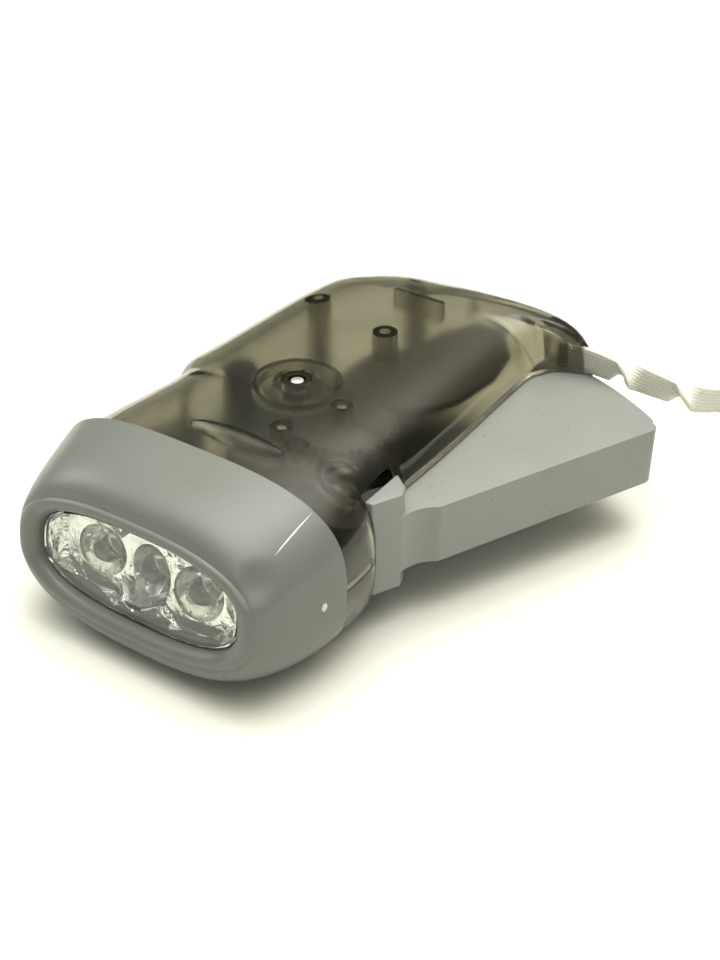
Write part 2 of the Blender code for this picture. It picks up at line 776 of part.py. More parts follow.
def add_shell_dome(bm, height, side, inset):
    outline = shell_outline(height, inset)
    columns = []
    for (x, y), (end_x, end_y), rise, edge in outline:
        reach = sqrt((end_x - x) ** 2 + (end_y - y) ** 2)
        steps = [min(edge, reach) * share for share in SHELL_RISE_SHARES]
        steps.append(reach)
        column = []
        for step in steps:
            share = step / reach
            lift = power_curve(min(step / edge, 1.0), SECTION_POWER)
            z = PARTING_GAP / 2 + (rise - inset - PARTING_GAP / 2) * lift
            world_z = MIDPLANE + side * z
            column.append(bm.verts.new((
                x + (end_x - x) * share,
                y + (end_y - y) * share,
                max(world_z, inset),
            )))
        columns.append(column)
    for first, second in zip(columns, columns[1:]):
        for row in range(len(first) - 1):
            corners = [first[row], second[row], second[row + 1], first[row + 1]]
            if side < 0:
                corners.reverse()
            bm.faces.new(corners)
    return columns


def build_shell_half(name, height, side, material):
    bm = bmesh.new()
    add_shell_dome(bm, height, side, 0.0)
    half = make_object(name, bm, material, outward=False)
    solid = half.modifiers.new("wall", "SOLIDIFY")
    solid.thickness = SHELL_WALL
    solid.offset = -1.0
    solid.use_even_offset = True
    return half


def build_shell_limit(name, height, side):
    bm = bmesh.new()
    columns = add_shell_dome(bm, height, side, SHELL_WALL * LIMIT_SHARE)
    rim = [column[0] for column in columns]
    front = list(reversed(columns[0][1:])) + columns[-1][1:]
    bm.faces.new(rim)
    bmesh.ops.remove_doubles(bm, verts=bm.verts, dist=WELD_DISTANCE)
    bmesh.ops.holes_fill(bm, edges=bm.edges, sides=0)
    limit = make_object(name, bm, None)
    limit.hide_render = True
    limit.display_type = "WIRE"
    return limit


def shell_screw_places():
    return ((POST_X, POST_Y), (REAR_POST_X, REAR_POST_Y), (END_POST_X, END_POST_Y))


def side_opening_points():
    reach_x = SLOT_OUTER_X - PIVOT_X
    start = acos(reach_x / SLOT_REACH)
    end = acos((SLOT_INNER_X - PIVOT_X) / SLOT_REACH)
    points = [(SLOT_INNER_X, SLOT_START_Y), (SLOT_OUTER_X, SLOT_START_Y)]
    points += arc_points(PIVOT_X, PIVOT_Y, SLOT_REACH, start, end, SLOT_STEPS)
    return points


def cut_side_openings(half, prefix):
    slot = prism_object(
        prefix + "_slot_cut",
        side_opening_points(),
        MIDPLANE - SLOT_HALF_HEIGHT,
        MIDPLANE + SLOT_HALF_HEIGHT,
        None,
    )
    window_points = box_points(
        (SLOT_INNER_X + SLOT_OUTER_X) / 2,
        (WINDOW_START_Y + SLOT_START_Y + SEAT_GAP) / 2,
        SLOT_OUTER_X - SLOT_INNER_X,
        SLOT_START_Y + SEAT_GAP - WINDOW_START_Y,
    )
    window = prism_object(
        prefix + "_window_cut",
        window_points,
        MIDPLANE - WINDOW_BOTTOM,
        MIDPLANE + WINDOW_TOP,
        None,
    )
    add_boolean(half, slot, "DIFFERENCE")
    add_boolean(half, window, "DIFFERENCE")


def gear_places():
    first_reach = SECTOR_MODULE * (SECTOR_TEETH + FIRST_PINION_TEETH) / 2
    first_x = PIVOT_X + first_reach * cos(FIRST_GEAR_BEARING)
    first_y = PIVOT_Y + first_reach * sin(FIRST_GEAR_BEARING)
    near = MIDDLE_MODULE * (FIRST_WHEEL_TEETH + SECOND_PINION_TEETH) / 2
    far = LAST_MODULE * (SECOND_WHEEL_TEETH + ROTOR_PINION_TEETH) / 2
    span_x = ROTOR_X - first_x
    span_y = ROTOR_Y - first_y
    span = sqrt(span_x ** 2 + span_y ** 2)
    along = (near ** 2 - far ** 2 + span ** 2) / (2 * span)
    aside = sqrt(near ** 2 - along ** 2)
    second_x = first_x + (along * span_x + aside * span_y) / span
    second_y = first_y + (along * span_y - aside * span_x) / span
    return (first_x, first_y), (second_x, second_y)


def involute(angle):
    return tan(angle) - angle


def tooth_half_angle(radius, pitch_radius, teeth):
    base_radius = pitch_radius * cos(PRESSURE_ANGLE)
    at_pitch = TOOTH_THICKNESS_SHARE * pi / teeth
    at_base = at_pitch + involute(PRESSURE_ANGLE)
    if radius <= base_radius:
        return at_base
    return at_base - involute(acos(base_radius / radius))


def tooth_points(centre_x, centre_y, module, teeth, bearing):
    pitch_radius = module * teeth / 2
    foot = pitch_radius - TOOTH_FOOT_SHARE * module
    tip = pitch_radius + TOOTH_HEAD_SHARE * module
    radii = [foot + (tip - foot) * share for share in FLANK_SHARES]
    sides = [(radius, -tooth_half_angle(radius, pitch_radius, teeth)) for radius in radii]
    sides += [(radius, tooth_half_angle(radius, pitch_radius, teeth)) for radius in reversed(radii)]
    points = []
    for radius, aside in sides:
        points.append((
            centre_x + radius * cos(bearing + aside),
            centre_y + radius * sin(bearing + aside),
        ))
    return points


def gear_points(centre_x, centre_y, module, teeth, bearing):
    points = []
    for tooth in range(teeth):
        points += tooth_points(centre_x, centre_y, module, teeth, bearing + 2 * pi * tooth / teeth)
    return points


def bearing_between(start, end):
    return atan2(end[1] - start[1], end[0] - start[0])


def lever_rear_points():
    points = []
    for index in range(LEVER_REAR_STEPS + 1):
        share = index / LEVER_REAR_STEPS
        angle = LEVER_CORNER_ANGLE + (LEVER_REACH_FULL_ANGLE - LEVER_CORNER_ANGLE) * share
        reach = LEVER_CORNER_REACH + (LEVER_REAR_REACH - LEVER_CORNER_REACH) * share
        points.append((PIVOT_X + reach * cos(angle), PIVOT_Y + reach * sin(angle)))
    return points


def lever_front_curve():
    points = []
    start = (BLOCK_SIDE_X, BLOCK_SIDE_Y)
    middle = (BLOCK_SIDE_X + SEAT_GAP, LEVER_FRONT_Y - LEVER_WALL)
    end = (LEVER_FRONT_X, LEVER_FRONT_Y)
    for index in range(LEVER_CURVE_STEPS + 1):
        share = index / LEVER_CURVE_STEPS
        weights = ((1 - share) ** 2, 2 * share * (1 - share), share ** 2)
        points.append(tuple(
            weights[0] * start[axis] + weights[1] * middle[axis] + weights[2] * end[axis]
            for axis in (0, 1)
        ))
    return points


def lever_grip_points():
    points = [(PIVOT_X, PIVOT_Y - LEVER_WALL), (BLOCK_FRONT_X, BLOCK_FRONT_Y)]
    points += lever_front_curve()
    points += lever_rear_points()
    points.append((LEVER_INNER_X, points[-1][1]))
    points.append((LEVER_INNER_X, LEVER_HOLLOW_START_Y))
    points.append((PIVOT_X - LEVER_WALL, PIVOT_Y + LEVER_HUB_RADIUS))
    return points


def lever_hollow_points():
    aside = LEVER_WALL
    angle = atan2(
        PIVOT_Y + LEVER_CORNER_REACH * sin(LEVER_CORNER_ANGLE) - LEVER_FRONT_Y,
        PIVOT_X + LEVER_CORNER_REACH * cos(LEVER_CORNER_ANGLE) - LEVER_FRONT_X,
    )
    start_y = LEVER_HOLLOW_START_Y + aside
    outer_x = LEVER_FRONT_X + (start_y - LEVER_FRONT_Y) / tan(angle) - aside / sin(angle)
    points = [(LEVER_INNER_X - CUT_OVERRUN, start_y), (outer_x, start_y)]
    inner = []
    for x, y in lever_rear_points():
        reach = sqrt((x - PIVOT_X) ** 2 + (y - PIVOT_Y) ** 2) - aside
        bearing = atan2(y - PIVOT_Y, x - PIVOT_X)
        inner.append((PIVOT_X + reach * cos(bearing), PIVOT_Y + reach * sin(bearing)))
    corner_y = inner[0][1] - aside / 2
    points.append((LEVER_FRONT_X + (corner_y - LEVER_FRONT_Y) / tan(angle) - aside / sin(angle), corner_y))
    points += inner[1:]
    points.append((LEVER_INNER_X - CUT_OVERRUN, inner[-1][1]))
    return points


def sector_points(bearing):
    pitch = 2 * pi / SECTOR_TEETH
    points = []
    for tooth in range(SECTOR_FIRST_TOOTH, SECTOR_LAST_TOOTH + 1):
        points += tooth_points(PIVOT_X, PIVOT_Y, SECTOR_MODULE, SECTOR_TEETH, bearing - pitch * tooth)[::-1]
    inner = LEVER_HUB_RADIUS - LEVER_WALL
    start = bearing - pitch * (SECTOR_LAST_TOOTH + 0.5)
    end = bearing - pitch * (SECTOR_FIRST_TOOTH - 0.5)
    root = SECTOR_MODULE * (SECTOR_TEETH / 2 - TOOTH_FOOT_SHARE)
    points.append((PIVOT_X + root * cos(start), PIVOT_Y + root * sin(start)))
    points += arc_points(PIVOT_X, PIVOT_Y, inner, start, end, SECTOR_CORE_STEPS)
    points.append((PIVOT_X + root * cos(end), PIVOT_Y + root * sin(end)))
    return points


def build_lever(material):
    origin = (PIVOT_X, PIVOT_Y, MIDPLANE)
    lever = prism_object(
        "squeeze_lever",
        lever_grip_points(),
        MIDPLANE - LEVER_HALF_HEIGHT,
        MIDPLANE + LEVER_HALF_HEIGHT,
        material,
        origin,
    )
    rounding = lever.modifiers.new("edge_rounding", "BEVEL")
    rounding.width = LEVER_EDGE_RADIUS
    rounding.segments = 2
    rounding.limit_method = "ANGLE"
    rounding.angle_limit = BEVEL_ANGLE
    hollow = prism_object(
        "lever_hollow_cut",
        lever_hollow_points(),
        MIDPLANE - LEVER_HALF_HEIGHT + LEVER_WALL,
        MIDPLANE + LEVER_HALF_HEIGHT - LEVER_WALL,
        None,
    )
    add_boolean(lever, hollow, "DIFFERENCE")
    inner_x = PIVOT_X + BLOCK_INNER_OFFSET
    block = prism_object(
        "lever_block",
        [
            (inner_x, BLOCK_FRONT_Y),
            (BLOCK_FRONT_X, BLOCK_FRONT_Y),
            (BLOCK_SIDE_X, BLOCK_SIDE_Y),
            (BLOCK_BACK_X, BLOCK_BACK_Y),
            (BLOCK_REAR_X, BLOCK_REAR_Y),
            (inner_x, BLOCK_REAR_Y),
        ],
        MIDPLANE - LEVER_HUB_BOTTOM,
        MIDPLANE + BLOCK_TOP,
        None,
    )
    add_boolean(lever, block, "UNION")
    hub = cylinder_object(
        "lever_hub",
        PIVOT_X,
        PIVOT_Y,
        LEVER_HUB_RADIUS,
        MIDPLANE - LEVER_HUB_BOTTOM,
        MIDPLANE + LEVER_HUB_TOP,
        None,
    )
    add_boolean(lever, hub, "UNION")
    first, second = gear_places()
    bearing = bearing_between((PIVOT_X, PIVOT_Y), first)
    sector = prism_object(
        "lever_sector",
        sector_points(bearing),
        MIDPLANE + SECTOR_LOW,
        MIDPLANE + SECTOR_HIGH,
        None,
    )
    add_boolean(lever, sector, "UNION")
    bore = cylinder_object(
        "lever_bore_cut",
        PIVOT_X,
        PIVOT_Y,
        LEVER_BORE_RADIUS,
        MIDPLANE - LEVER_HUB_BOTTOM - CUT_OVERRUN,
        MIDPLANE + LEVER_HUB_TOP + CUT_OVERRUN,
        None,
    )
    add_boolean(lever, bore, "DIFFERENCE")
    pocket = cylinder_object(
        "lever_spring_pocket_cut",
        PIVOT_X,
        PIVOT_Y,
        SPRING_POCKET_RADIUS,
        MIDPLANE - LEVER_HUB_BOTTOM - CUT_OVERRUN,
        MIDPLANE - LEVER_HUB_BOTTOM + SPRING_POCKET_DEPTH,
        None,
    )
    add_boolean(lever, pocket, "DIFFERENCE")
    return lever


def build_pivot_pin(material):
    return cylinder_object(
        "lever_pivot_pin",
        PIVOT_X,
        PIVOT_Y,
        PIN_RADIUS,
        MIDPLANE - PIN_BOTTOM,
        MIDPLANE + PIN_TOP,
        material,
    )


def build_spring(material):
    curve = bpy.data.curves.new("lever_spring", "CURVE")
    curve.dimensions = "3D"
    curve.bevel_depth = SPRING_WIRE_RADIUS
    curve.bevel_resolution = 2
    curve.use_fill_caps = True
    spline = curve.splines.new("POLY")
    count = SPRING_TURNS * SPRING_STEPS
    spline.points.add(count)
    base = -LEVER_HUB_BOTTOM + SPRING_WIRE_RADIUS
    for index in range(count + 1):
        angle = 2 * pi * index / SPRING_STEPS
        height = base + SPRING_PITCH * index / SPRING_STEPS
        spline.points[index].co = (SPRING_RADIUS * cos(angle), SPRING_RADIUS * sin(angle), height, 1)
    curve.materials.append(material)
    spring = bpy.data.objects.new("lever_spring", curve)
    spring.location = (PIVOT_X, PIVOT_Y, MIDPLANE)
    bpy.context.scene.collection.objects.link(spring)
    return spring


def build_compound_gear(name, place, wheel, pinion, hub, material):
    wheel_points, wheel_low, wheel_high = wheel
    pinion_points, pinion_low, pinion_high = pinion
    hub_low, hub_high = hub
    gear = prism_object(name, wheel_points, wheel_low, wheel_high, material, (place[0], place[1], wheel_low))
    core = cylinder_object(name + "_hub", place[0], place[1], GEAR_HUB_RADIUS, hub_low, hub_high, None)
    add_boolean(gear, core, "UNION")
    small = prism_object(name + "_pinion", pinion_points, pinion_low, pinion_high, None)
    add_boolean(gear, small, "UNION")
    bore = cylinder_object(
        name + "_bore_cut",
        place[0],
        place[1],
        AXLE_BORE_RADIUS,
        min(hub_low, pinion_low) - CUT_OVERRUN,
        max(hub_high, wheel_high) + CUT_OVERRUN,
        None,
    )
    add_boolean(gear, bore, "DIFFERENCE")
    return gear


def build_first_gear(material):
    first, second = gear_places()
    sector_bearing = bearing_between((PIVOT_X, PIVOT_Y), first)
    pinion_bearing = sector_bearing + pi + pi / FIRST_PINION_TEETH
    wheel_bearing = bearing_between(first, second)
    low = MIDPLANE + WHEEL_LAYER
    wheel = (
        gear_points(first[0], first[1], MIDDLE_MODULE, FIRST_WHEEL_TEETH, wheel_bearing),
        low,
        low + WHEEL_THICKNESS,
    )
    pinion = (
        gear_points(first[0], first[1], SECTOR_MODULE, FIRST_PINION_TEETH, pinion_bearing),
        MIDPLANE + FIRST_PINION_LOW,
        MIDPLANE + FIRST_PINION_HIGH,
    )
    hub = (MIDPLANE + FIRST_PINION_HIGH - SEAT_GAP, MIDPLANE + LAST_LAYER + LAST_THICKNESS)
    return build_compound_gear("first_gear", first, wheel, pinion, hub, material)


def build_second_gear(material):
    first, second = gear_places()
    pinion_bearing = bearing_between(second, first) + pi / SECOND_PINION_TEETH
    wheel_bearing = bearing_between(second, (ROTOR_X, ROTOR_Y))
    low = MIDPLANE + LAST_LAYER
    wheel = (
        gear_points(second[0], second[1], LAST_MODULE, SECOND_WHEEL_TEETH, wheel_bearing),
        low,
        low + LAST_THICKNESS,
    )
    pinion_low = MIDPLANE + WHEEL_LAYER - SEAT_GAP
    pinion = (
        gear_points(second[0], second[1], MIDDLE_MODULE, SECOND_PINION_TEETH, pinion_bearing),
        pinion_low,
        MIDPLANE + WHEEL_LAYER + WHEEL_THICKNESS + SEAT_GAP,
    )
    hub = (MIDPLANE + WHEEL_LAYER + WHEEL_THICKNESS, low + SEAT_GAP)
    return build_compound_gear("second_gear", second, wheel, pinion, hub, material)


def build_first_axle(material):
    first, second = gear_places()
    return cylinder_object(
        "first_gear_axle",
        first[0],
        first[1],
        AXLE_RADIUS,
        MIDPLANE - AXLE_BOTTOM,
        MIDPLANE + AXLE_TOP,
        material,
        AXLE_STEPS,
    )


def build_second_axle(material):
    first, second = gear_places()
    top = MIDPLANE + AXLE_TOP
    head_top = MIDPLANE + WHEEL_LAYER - SEAT_GAP - RUN_GAP
    head_low = head_top - AXLE_HEAD_THICKNESS
    profile = [
        (0, head_low),
        (AXLE_HEAD_RADIUS, head_low),
        (AXLE_HEAD_RADIUS, head_top),
        (AXLE_RADIUS, head_top),
        (AXLE_RADIUS, top),
        (0, top),
    ]
    return revolved_object("second_gear_axle", profile, second[0], second[1], material, False, AXLE_STEPS)


def build_rotor_shaft(material):
    return cylinder_object(
        "rotor_shaft",
        ROTOR_X,
        ROTOR_Y,
        SHAFT_RADIUS,
        MIDPLANE - SHAFT_BOTTOM,
        MIDPLANE + SHAFT_TOP,
        material,
    )


def build_rotor_pinion(material):
    first, second = gear_places()
    bearing = bearing_between((ROTOR_X, ROTOR_Y), second) + pi / ROTOR_PINION_TEETH
    low = MIDPLANE + LAST_LAYER - SEAT_GAP
    high = MIDPLANE + LAST_LAYER + LAST_THICKNESS
    points = gear_points(ROTOR_X, ROTOR_Y, LAST_MODULE, ROTOR_PINION_TEETH, bearing)
    pinion = prism_object("rotor_pinion", points, low, high, material, (ROTOR_X, ROTOR_Y, low))
    collar = cylinder_object(
        "rotor_pinion_collar",
        ROTOR_X,
        ROTOR_Y,
        PINION_COLLAR_RADIUS,
        MIDPLANE + FLYWHEEL_BOTTOM + FLYWHEEL_THICKNESS + RUN_GAP,
        low + SEAT_GAP,
        None,
    )
    add_boolean(pinion, collar, "UNION")
    bore = cylinder_object(
        "rotor_pinion_bore_cut",
        ROTOR_X,
        ROTOR_Y,
        SHAFT_RADIUS + PRESS_GAP,
        MIDPLANE + FLYWHEEL_BOTTOM,
        high + CUT_OVERRUN,
        None,
    )
    add_boolean(pinion, bore, "DIFFERENCE")
    return pinion


def build_flywheel(material):
    low = MIDPLANE + FLYWHEEL_BOTTOM
    high = low + FLYWHEEL_THICKNESS
    web = high - FLYWHEEL_THICKNESS * FLYWHEEL_WEB_SHARE
    inner = SHAFT_RADIUS + PRESS_GAP
    boss = inner + FLYWHEEL_RIM / 2
    profile = [
        (inner, low),
        (FLYWHEEL_RADIUS - LEVER_EDGE_RADIUS, low),
        (FLYWHEEL_RADIUS, low + LEVER_EDGE_RADIUS),
        (FLYWHEEL_RADIUS, high),
        (FLYWHEEL_RADIUS - FLYWHEEL_RIM, high),
        (FLYWHEEL_RADIUS - FLYWHEEL_RIM, web),
        (boss, web),
        (boss, high),
        (inner, high),
    ]
    return revolved_object("flywheel", profile, ROTOR_X, ROTOR_Y, material, True)


def build_magnet(material):
    high = MIDPLANE + MAGNET_TOP
    low = high - MAGNET_HEIGHT
    inner = SHAFT_RADIUS + PRESS_GAP
    profile = [(inner, low), (MAGNET_RADIUS, low), (MAGNET_RADIUS, high), (inner, high)]
    return revolved_object("ring_magnet", profile, ROTOR_X, ROTOR_Y, material, True)


def build_yoke(name, side, material):
    top = MIDPLANE + YOKE_TOP
    low = top - YOKE_HEIGHT
    plate_low = top - YOKE_THICKNESS if side > 0 else low
    plate_high = plate_low + YOKE_THICKNESS
    bm = bmesh.new()
    profile = [
        (YOKE_INNER_RADIUS - CLAW_THICKNESS, plate_low),
        (YOKE_RADIUS, plate_low),
        (YOKE_RADIUS, plate_high),
        (YOKE_INNER_RADIUS - CLAW_THICKNESS, plate_high),
    ]
    add_revolved(bm, profile, ROTOR_X, ROTOR_Y, ROUND_STEPS, True)
    yoke = make_object(name, bm, material, (ROTOR_X, ROTOR_Y, 0.0))
    claws = bmesh.new()
    turn = 0 if side > 0 else pi / CLAW_COUNT
    claw_end = plate_low - CLAW_HEIGHT if side > 0 else plate_high + CLAW_HEIGHT
    claw_start = plate_high - SEAT_GAP if side > 0 else plate_low + SEAT_GAP
    half_angle = CLAW_WIDTH / YOKE_INNER_RADIUS / 2
    for index in range(CLAW_COUNT):
        centre = turn + 2 * pi * index / CLAW_COUNT
        start = centre - half_angle
        end = centre + half_angle
        points = arc_points(ROTOR_X, ROTOR_Y, YOKE_INNER_RADIUS, start, end, CLAW_STEPS)
        points += arc_points(ROTOR_X, ROTOR_Y, YOKE_INNER_RADIUS - CLAW_THICKNESS, end, start, CLAW_STEPS)
        add_prism(claws, points, min(claw_start, claw_end), max(claw_start, claw_end))
    claw_object = make_object(name + "_claws", claws, None)
    add_boolean(yoke, claw_object, "UNION")
    return yoke


def bobbin_levels():
    high = MIDPLANE + YOKE_TOP - YOKE_THICKNESS - SEAT_GAP
    low = MIDPLANE + YOKE_TOP - YOKE_HEIGHT + YOKE_THICKNESS + SEAT_GAP
    return low, high


def build_bobbin(material):
    low, high = bobbin_levels()
    inner = BOBBIN_INNER_RADIUS
    wall = inner + BOBBIN_WALL
    outer = BOBBIN_OUTER_RADIUS
    profile = [
        (inner, low),
        (outer, low),
        (outer, low + BOBBIN_FLANGE),
        (wall, low + BOBBIN_FLANGE),
        (wall, high - BOBBIN_FLANGE),
        (outer, high - BOBBIN_FLANGE),
        (outer, high),
        (inner, high),
    ]
    return revolved_object("coil_bobbin", profile, ROTOR_X, ROTOR_Y, material, True)


def build_winding(material):
    low, high = bobbin_levels()
    inner = BOBBIN_INNER_RADIUS + BOBBIN_WALL + PRESS_GAP
    outer = BOBBIN_OUTER_RADIUS - BOBBIN_FLANGE
    start = low + BOBBIN_FLANGE + PRESS_GAP
    end = high - BOBBIN_FLANGE - PRESS_GAP
    profile = [(inner, start), (outer, start), (outer, end), (inner, end)]
    return revolved_object("coil_winding", profile, ROTOR_X, ROTOR_Y, material, True)


def build_bush(name, low, high, material):
    profile = [
        (BUSH_BORE_RADIUS, low),
        (BUSH_RADIUS, low),
        (BUSH_RADIUS, high),
        (BUSH_BORE_RADIUS, high),
    ]
    return revolved_object(name, profile, ROTOR_X, ROTOR_Y, material, True)


def build_screw(index, place, material):
    x, y = place
    head_low = SCREW_SINK
    head_high = head_low + SCREW_HEAD_HEIGHT
    top = head_high + SCREW_LENGTH
    profile = [
        (0, head_low + SCREW_HEAD_HEIGHT / 2),
        (SCREW_HEAD_RADIUS / 3, head_low + SCREW_HEAD_HEIGHT / 2),
        (SCREW_HEAD_RADIUS / 2, head_low),
        (SCREW_HEAD_RADIUS, head_low + SCREW_HEAD_HEIGHT / 4),
        (SCREW_HEAD_RADIUS, head_high),
        (SCREW_RADIUS, head_high),
        (SCREW_RADIUS, top),
        (0, top + SCREW_RADIUS),
    ]
    return revolved_object("shell_screw_%d" % index, profile, x, y, material, False, AXLE_STEPS)


def upper_fittings():
    first, second = gear_places()
    top = MIDPLANE + SHELL_TOP_HEIGHT
    bm = bmesh.new()
    add_cylinder(bm, PIVOT_X, PIVOT_Y, BOSS_RADIUS, MIDPLANE + PIVOT_BOSS_START, top, ROUND_STEPS)
    boss_low = MIDPLANE + LAST_LAYER + LAST_THICKNESS + RUN_GAP
    add_cylinder(bm, first[0], first[1], FIRST_BOSS_RADIUS, boss_low, top, AXLE_STEPS)
    add_cylinder(bm, second[0], second[1], FIRST_BOSS_RADIUS, boss_low, top, AXLE_STEPS)
    add_cylinder(bm, ROTOR_X, ROTOR_Y, BUSH_RADIUS + SHELL_WALL, MIDPLANE + BUSH_TOP - BUSH_LENGTH, top, ROUND_STEPS)
    for x, y in shell_screw_places():
        add_cylinder(bm, x, y, POST_RADIUS, MIDPLANE + PARTING_GAP / 2, top, AXLE_STEPS)
    rib_low = MIDPLANE + SHELL_TOP_HEIGHT - RIB_DROP
    add_prism(bm, box_points(RIB_X, RIB_Y, RIB_LENGTH, RIB_THICKNESS), rib_low, top)
    rear_low = MIDPLANE + SHELL_TOP_HEIGHT - REAR_RIB_DROP
    add_prism(bm, box_points(REAR_RIB_X, REAR_RIB_Y, RIB_THICKNESS, 2 * RIB_THICKNESS), rear_low, top)
    anchor_low = MIDPLANE + SLOT_HALF_HEIGHT + SEAT_GAP
    add_prism(bm, box_points(ANCHOR_X, ANCHOR_Y, ANCHOR_LENGTH, ANCHOR_DEPTH), anchor_low, top)
    add_cylinder(bm, SMALL_BOSS_X, SMALL_BOSS_Y, FIRST_BOSS_RADIUS, boss_low, top, AXLE_STEPS)
    return make_object("upper_shell_fittings", bm, None)


def ring_boss():
    low = MIDPLANE + SHELL_TOP_HEIGHT - SHELL_WALL - RING_BOSS_DROP
    high = MIDPLANE + SHELL_TOP_HEIGHT
    inner = RING_BOSS_RADIUS - RING_BOSS_WALL
    profile = [(inner, low), (RING_BOSS_RADIUS, low), (RING_BOSS_RADIUS, high), (inner, high)]
    return revolved_object("upper_shell_ring", profile, ROTOR_X, ROTOR_Y, None, True)


def upper_bores():
    first, second = gear_places()
    bm = bmesh.new()
    add_cylinder(
        bm, PIVOT_X, PIVOT_Y, BOSS_BORE_RADIUS,
        MIDPLANE + PIVOT_BOSS_START - CUT_OVERRUN, MIDPLANE + PIN_TOP + SEAT_GAP, AXLE_STEPS,
    )
    for place in (first, second):
        add_cylinder(
            bm, place[0], place[1], AXLE_BORE_RADIUS,
            MIDPLANE + LAST_LAYER, MIDPLANE + AXLE_TOP + SEAT_GAP, AXLE_STEPS,
        )
    add_cylinder(
        bm, ROTOR_X, ROTOR_Y, BUSH_RADIUS + SEAT_GAP,
        MIDPLANE + BUSH_TOP - BUSH_LENGTH - CUT_OVERRUN, MIDPLANE + SHELL_TOP_HEIGHT + CUT_OVERRUN, ROUND_STEPS,
    )
    for x, y in shell_screw_places():
        high = SCREW_SINK + SCREW_HEAD_HEIGHT + SCREW_LENGTH + SCREW_RADIUS + RUN_GAP
        add_cylinder(bm, x, y, SCREW_RADIUS + SEAT_GAP, MIDPLANE - CUT_OVERRUN, high, AXLE_STEPS)
    return make_object("upper_shell_bores_cut", bm, None)


def snap_recess():
    bm = bmesh.new()
    top = MIDPLANE + SHELL_TOP_HEIGHT
    half = SNAP_LENGTH / 2 - SNAP_WIDTH / 2
    points = arc_points(SNAP_X + half, SNAP_Y, SNAP_WIDTH / 2, -pi / 2, pi / 2, SNAP_STEPS)
    points += arc_points(SNAP_X - half, SNAP_Y, SNAP_WIDTH / 2, pi / 2, 3 * pi / 2, SNAP_STEPS)
    add_prism(bm, points, top - SNAP_DEPTH, top + CUT_OVERRUN)
    return make_object("upper_shell_snap_cut", bm, None)


def strap_hole(prefix):
    start = STRAP_START_X - SEAT_GAP
    end = SLOT_OUTER_X
    points = box_points((start + end) / 2, STRAP_START_Y, end - start, STRAP_HOLE_WIDTH)
    low = MIDPLANE + SLOT_HALF_HEIGHT - CUT_OVERRUN
    high = MIDPLANE + STRAP_START_Z + STRAP_WIDTH / 2 + SEAT_GAP
    return prism_object(prefix + "_strap_cut", points, low, high, None)


def build_upper_shell(material):
    half = build_shell_half("upper_shell", SHELL_TOP_HEIGHT, 1, material)
    limit = build_shell_limit("upper_shell_limit", SHELL_TOP_HEIGHT, 1)
    fittings = upper_fittings()
    add_boolean(fittings, limit, "INTERSECT")
    add_boolean(half, fittings, "UNION")
    ring = ring_boss()
    add_boolean(ring, limit, "INTERSECT")
    add_boolean(half, ring, "UNION")
    cut_side_openings(half, "upper_shell")
    add_boolean(half, upper_bores(), "DIFFERENCE")
    add_boolean(half, snap_recess(), "DIFFERENCE")
    add_boolean(half, strap_hole("upper_shell"), "DIFFERENCE")
    add_boolean(half, switch_opening("upper_shell"), "DIFFERENCE")
    return half


def lower_fittings():
    first, second = gear_places()
    low = 0.0
    bm = bmesh.new()
    add_cylinder(bm, PIVOT_X, PIVOT_Y, BOSS_RADIUS, low, MIDPLANE - LEVER_HUB_BOTTOM - RUN_GAP, ROUND_STEPS)
    add_cylinder(
        bm, first[0], first[1], FIRST_BOSS_RADIUS,
        low, MIDPLANE + FIRST_PINION_LOW - RUN_GAP, AXLE_STEPS,
    )
    add_cylinder(
        bm, ROTOR_X, ROTOR_Y, BUSH_RADIUS + SHELL_WALL,
        low, MIDPLANE + YOKE_TOP - YOKE_HEIGHT - SEAT_GAP, ROUND_STEPS,
    )
    for x, y in shell_screw_places():
        add_cylinder(bm, x, y, SCREW_POST_RADIUS, low, MIDPLANE - PARTING_GAP / 2, AXLE_STEPS)
    switch_post_x = switch_inner_x() + SWITCH_BODY_WIDTH / 2
    switch_post_top = MIDPLANE - SWITCH_BODY_HEIGHT / 2 - SEAT_GAP
    add_cylinder(bm, switch_post_x, SWITCH_POST_Y, BOARD_POST_RADIUS, low, switch_post_top, AXLE_STEPS)
    for y in (BOARD_Y - BOARD_LENGTH / 3, BOARD_Y + BOARD_LENGTH / 3):
        add_cylinder(
            bm, BOARD_X, y, BOARD_POST_RADIUS,
            low, MIDPLANE + BOARD_TOP - BOARD_THICKNESS - SEAT_GAP, AXLE_STEPS,
        )
    return make_object("lower_shell_fittings", bm, None)


def cell_tray():
    floor = MIDPLANE + CELL_BOTTOM - SEAT_GAP
    inner = CELL_RADIUS + SEAT_GAP
    outer = inner + CELL_TRAY_WALL
    profile = [
        (inner - CELL_TRAY_WALL * 2, 0.0),
        (outer, 0.0),
        (outer, floor + CELL_HEIGHT / 2),
        (inner, floor + CELL_HEIGHT / 2),
        (inner, floor),
        (inner - CELL_TRAY_WALL * 2, floor),
    ]
    return revolved_object("lower_shell_tray", profile, CELL_X, CELL_Y, None, True)


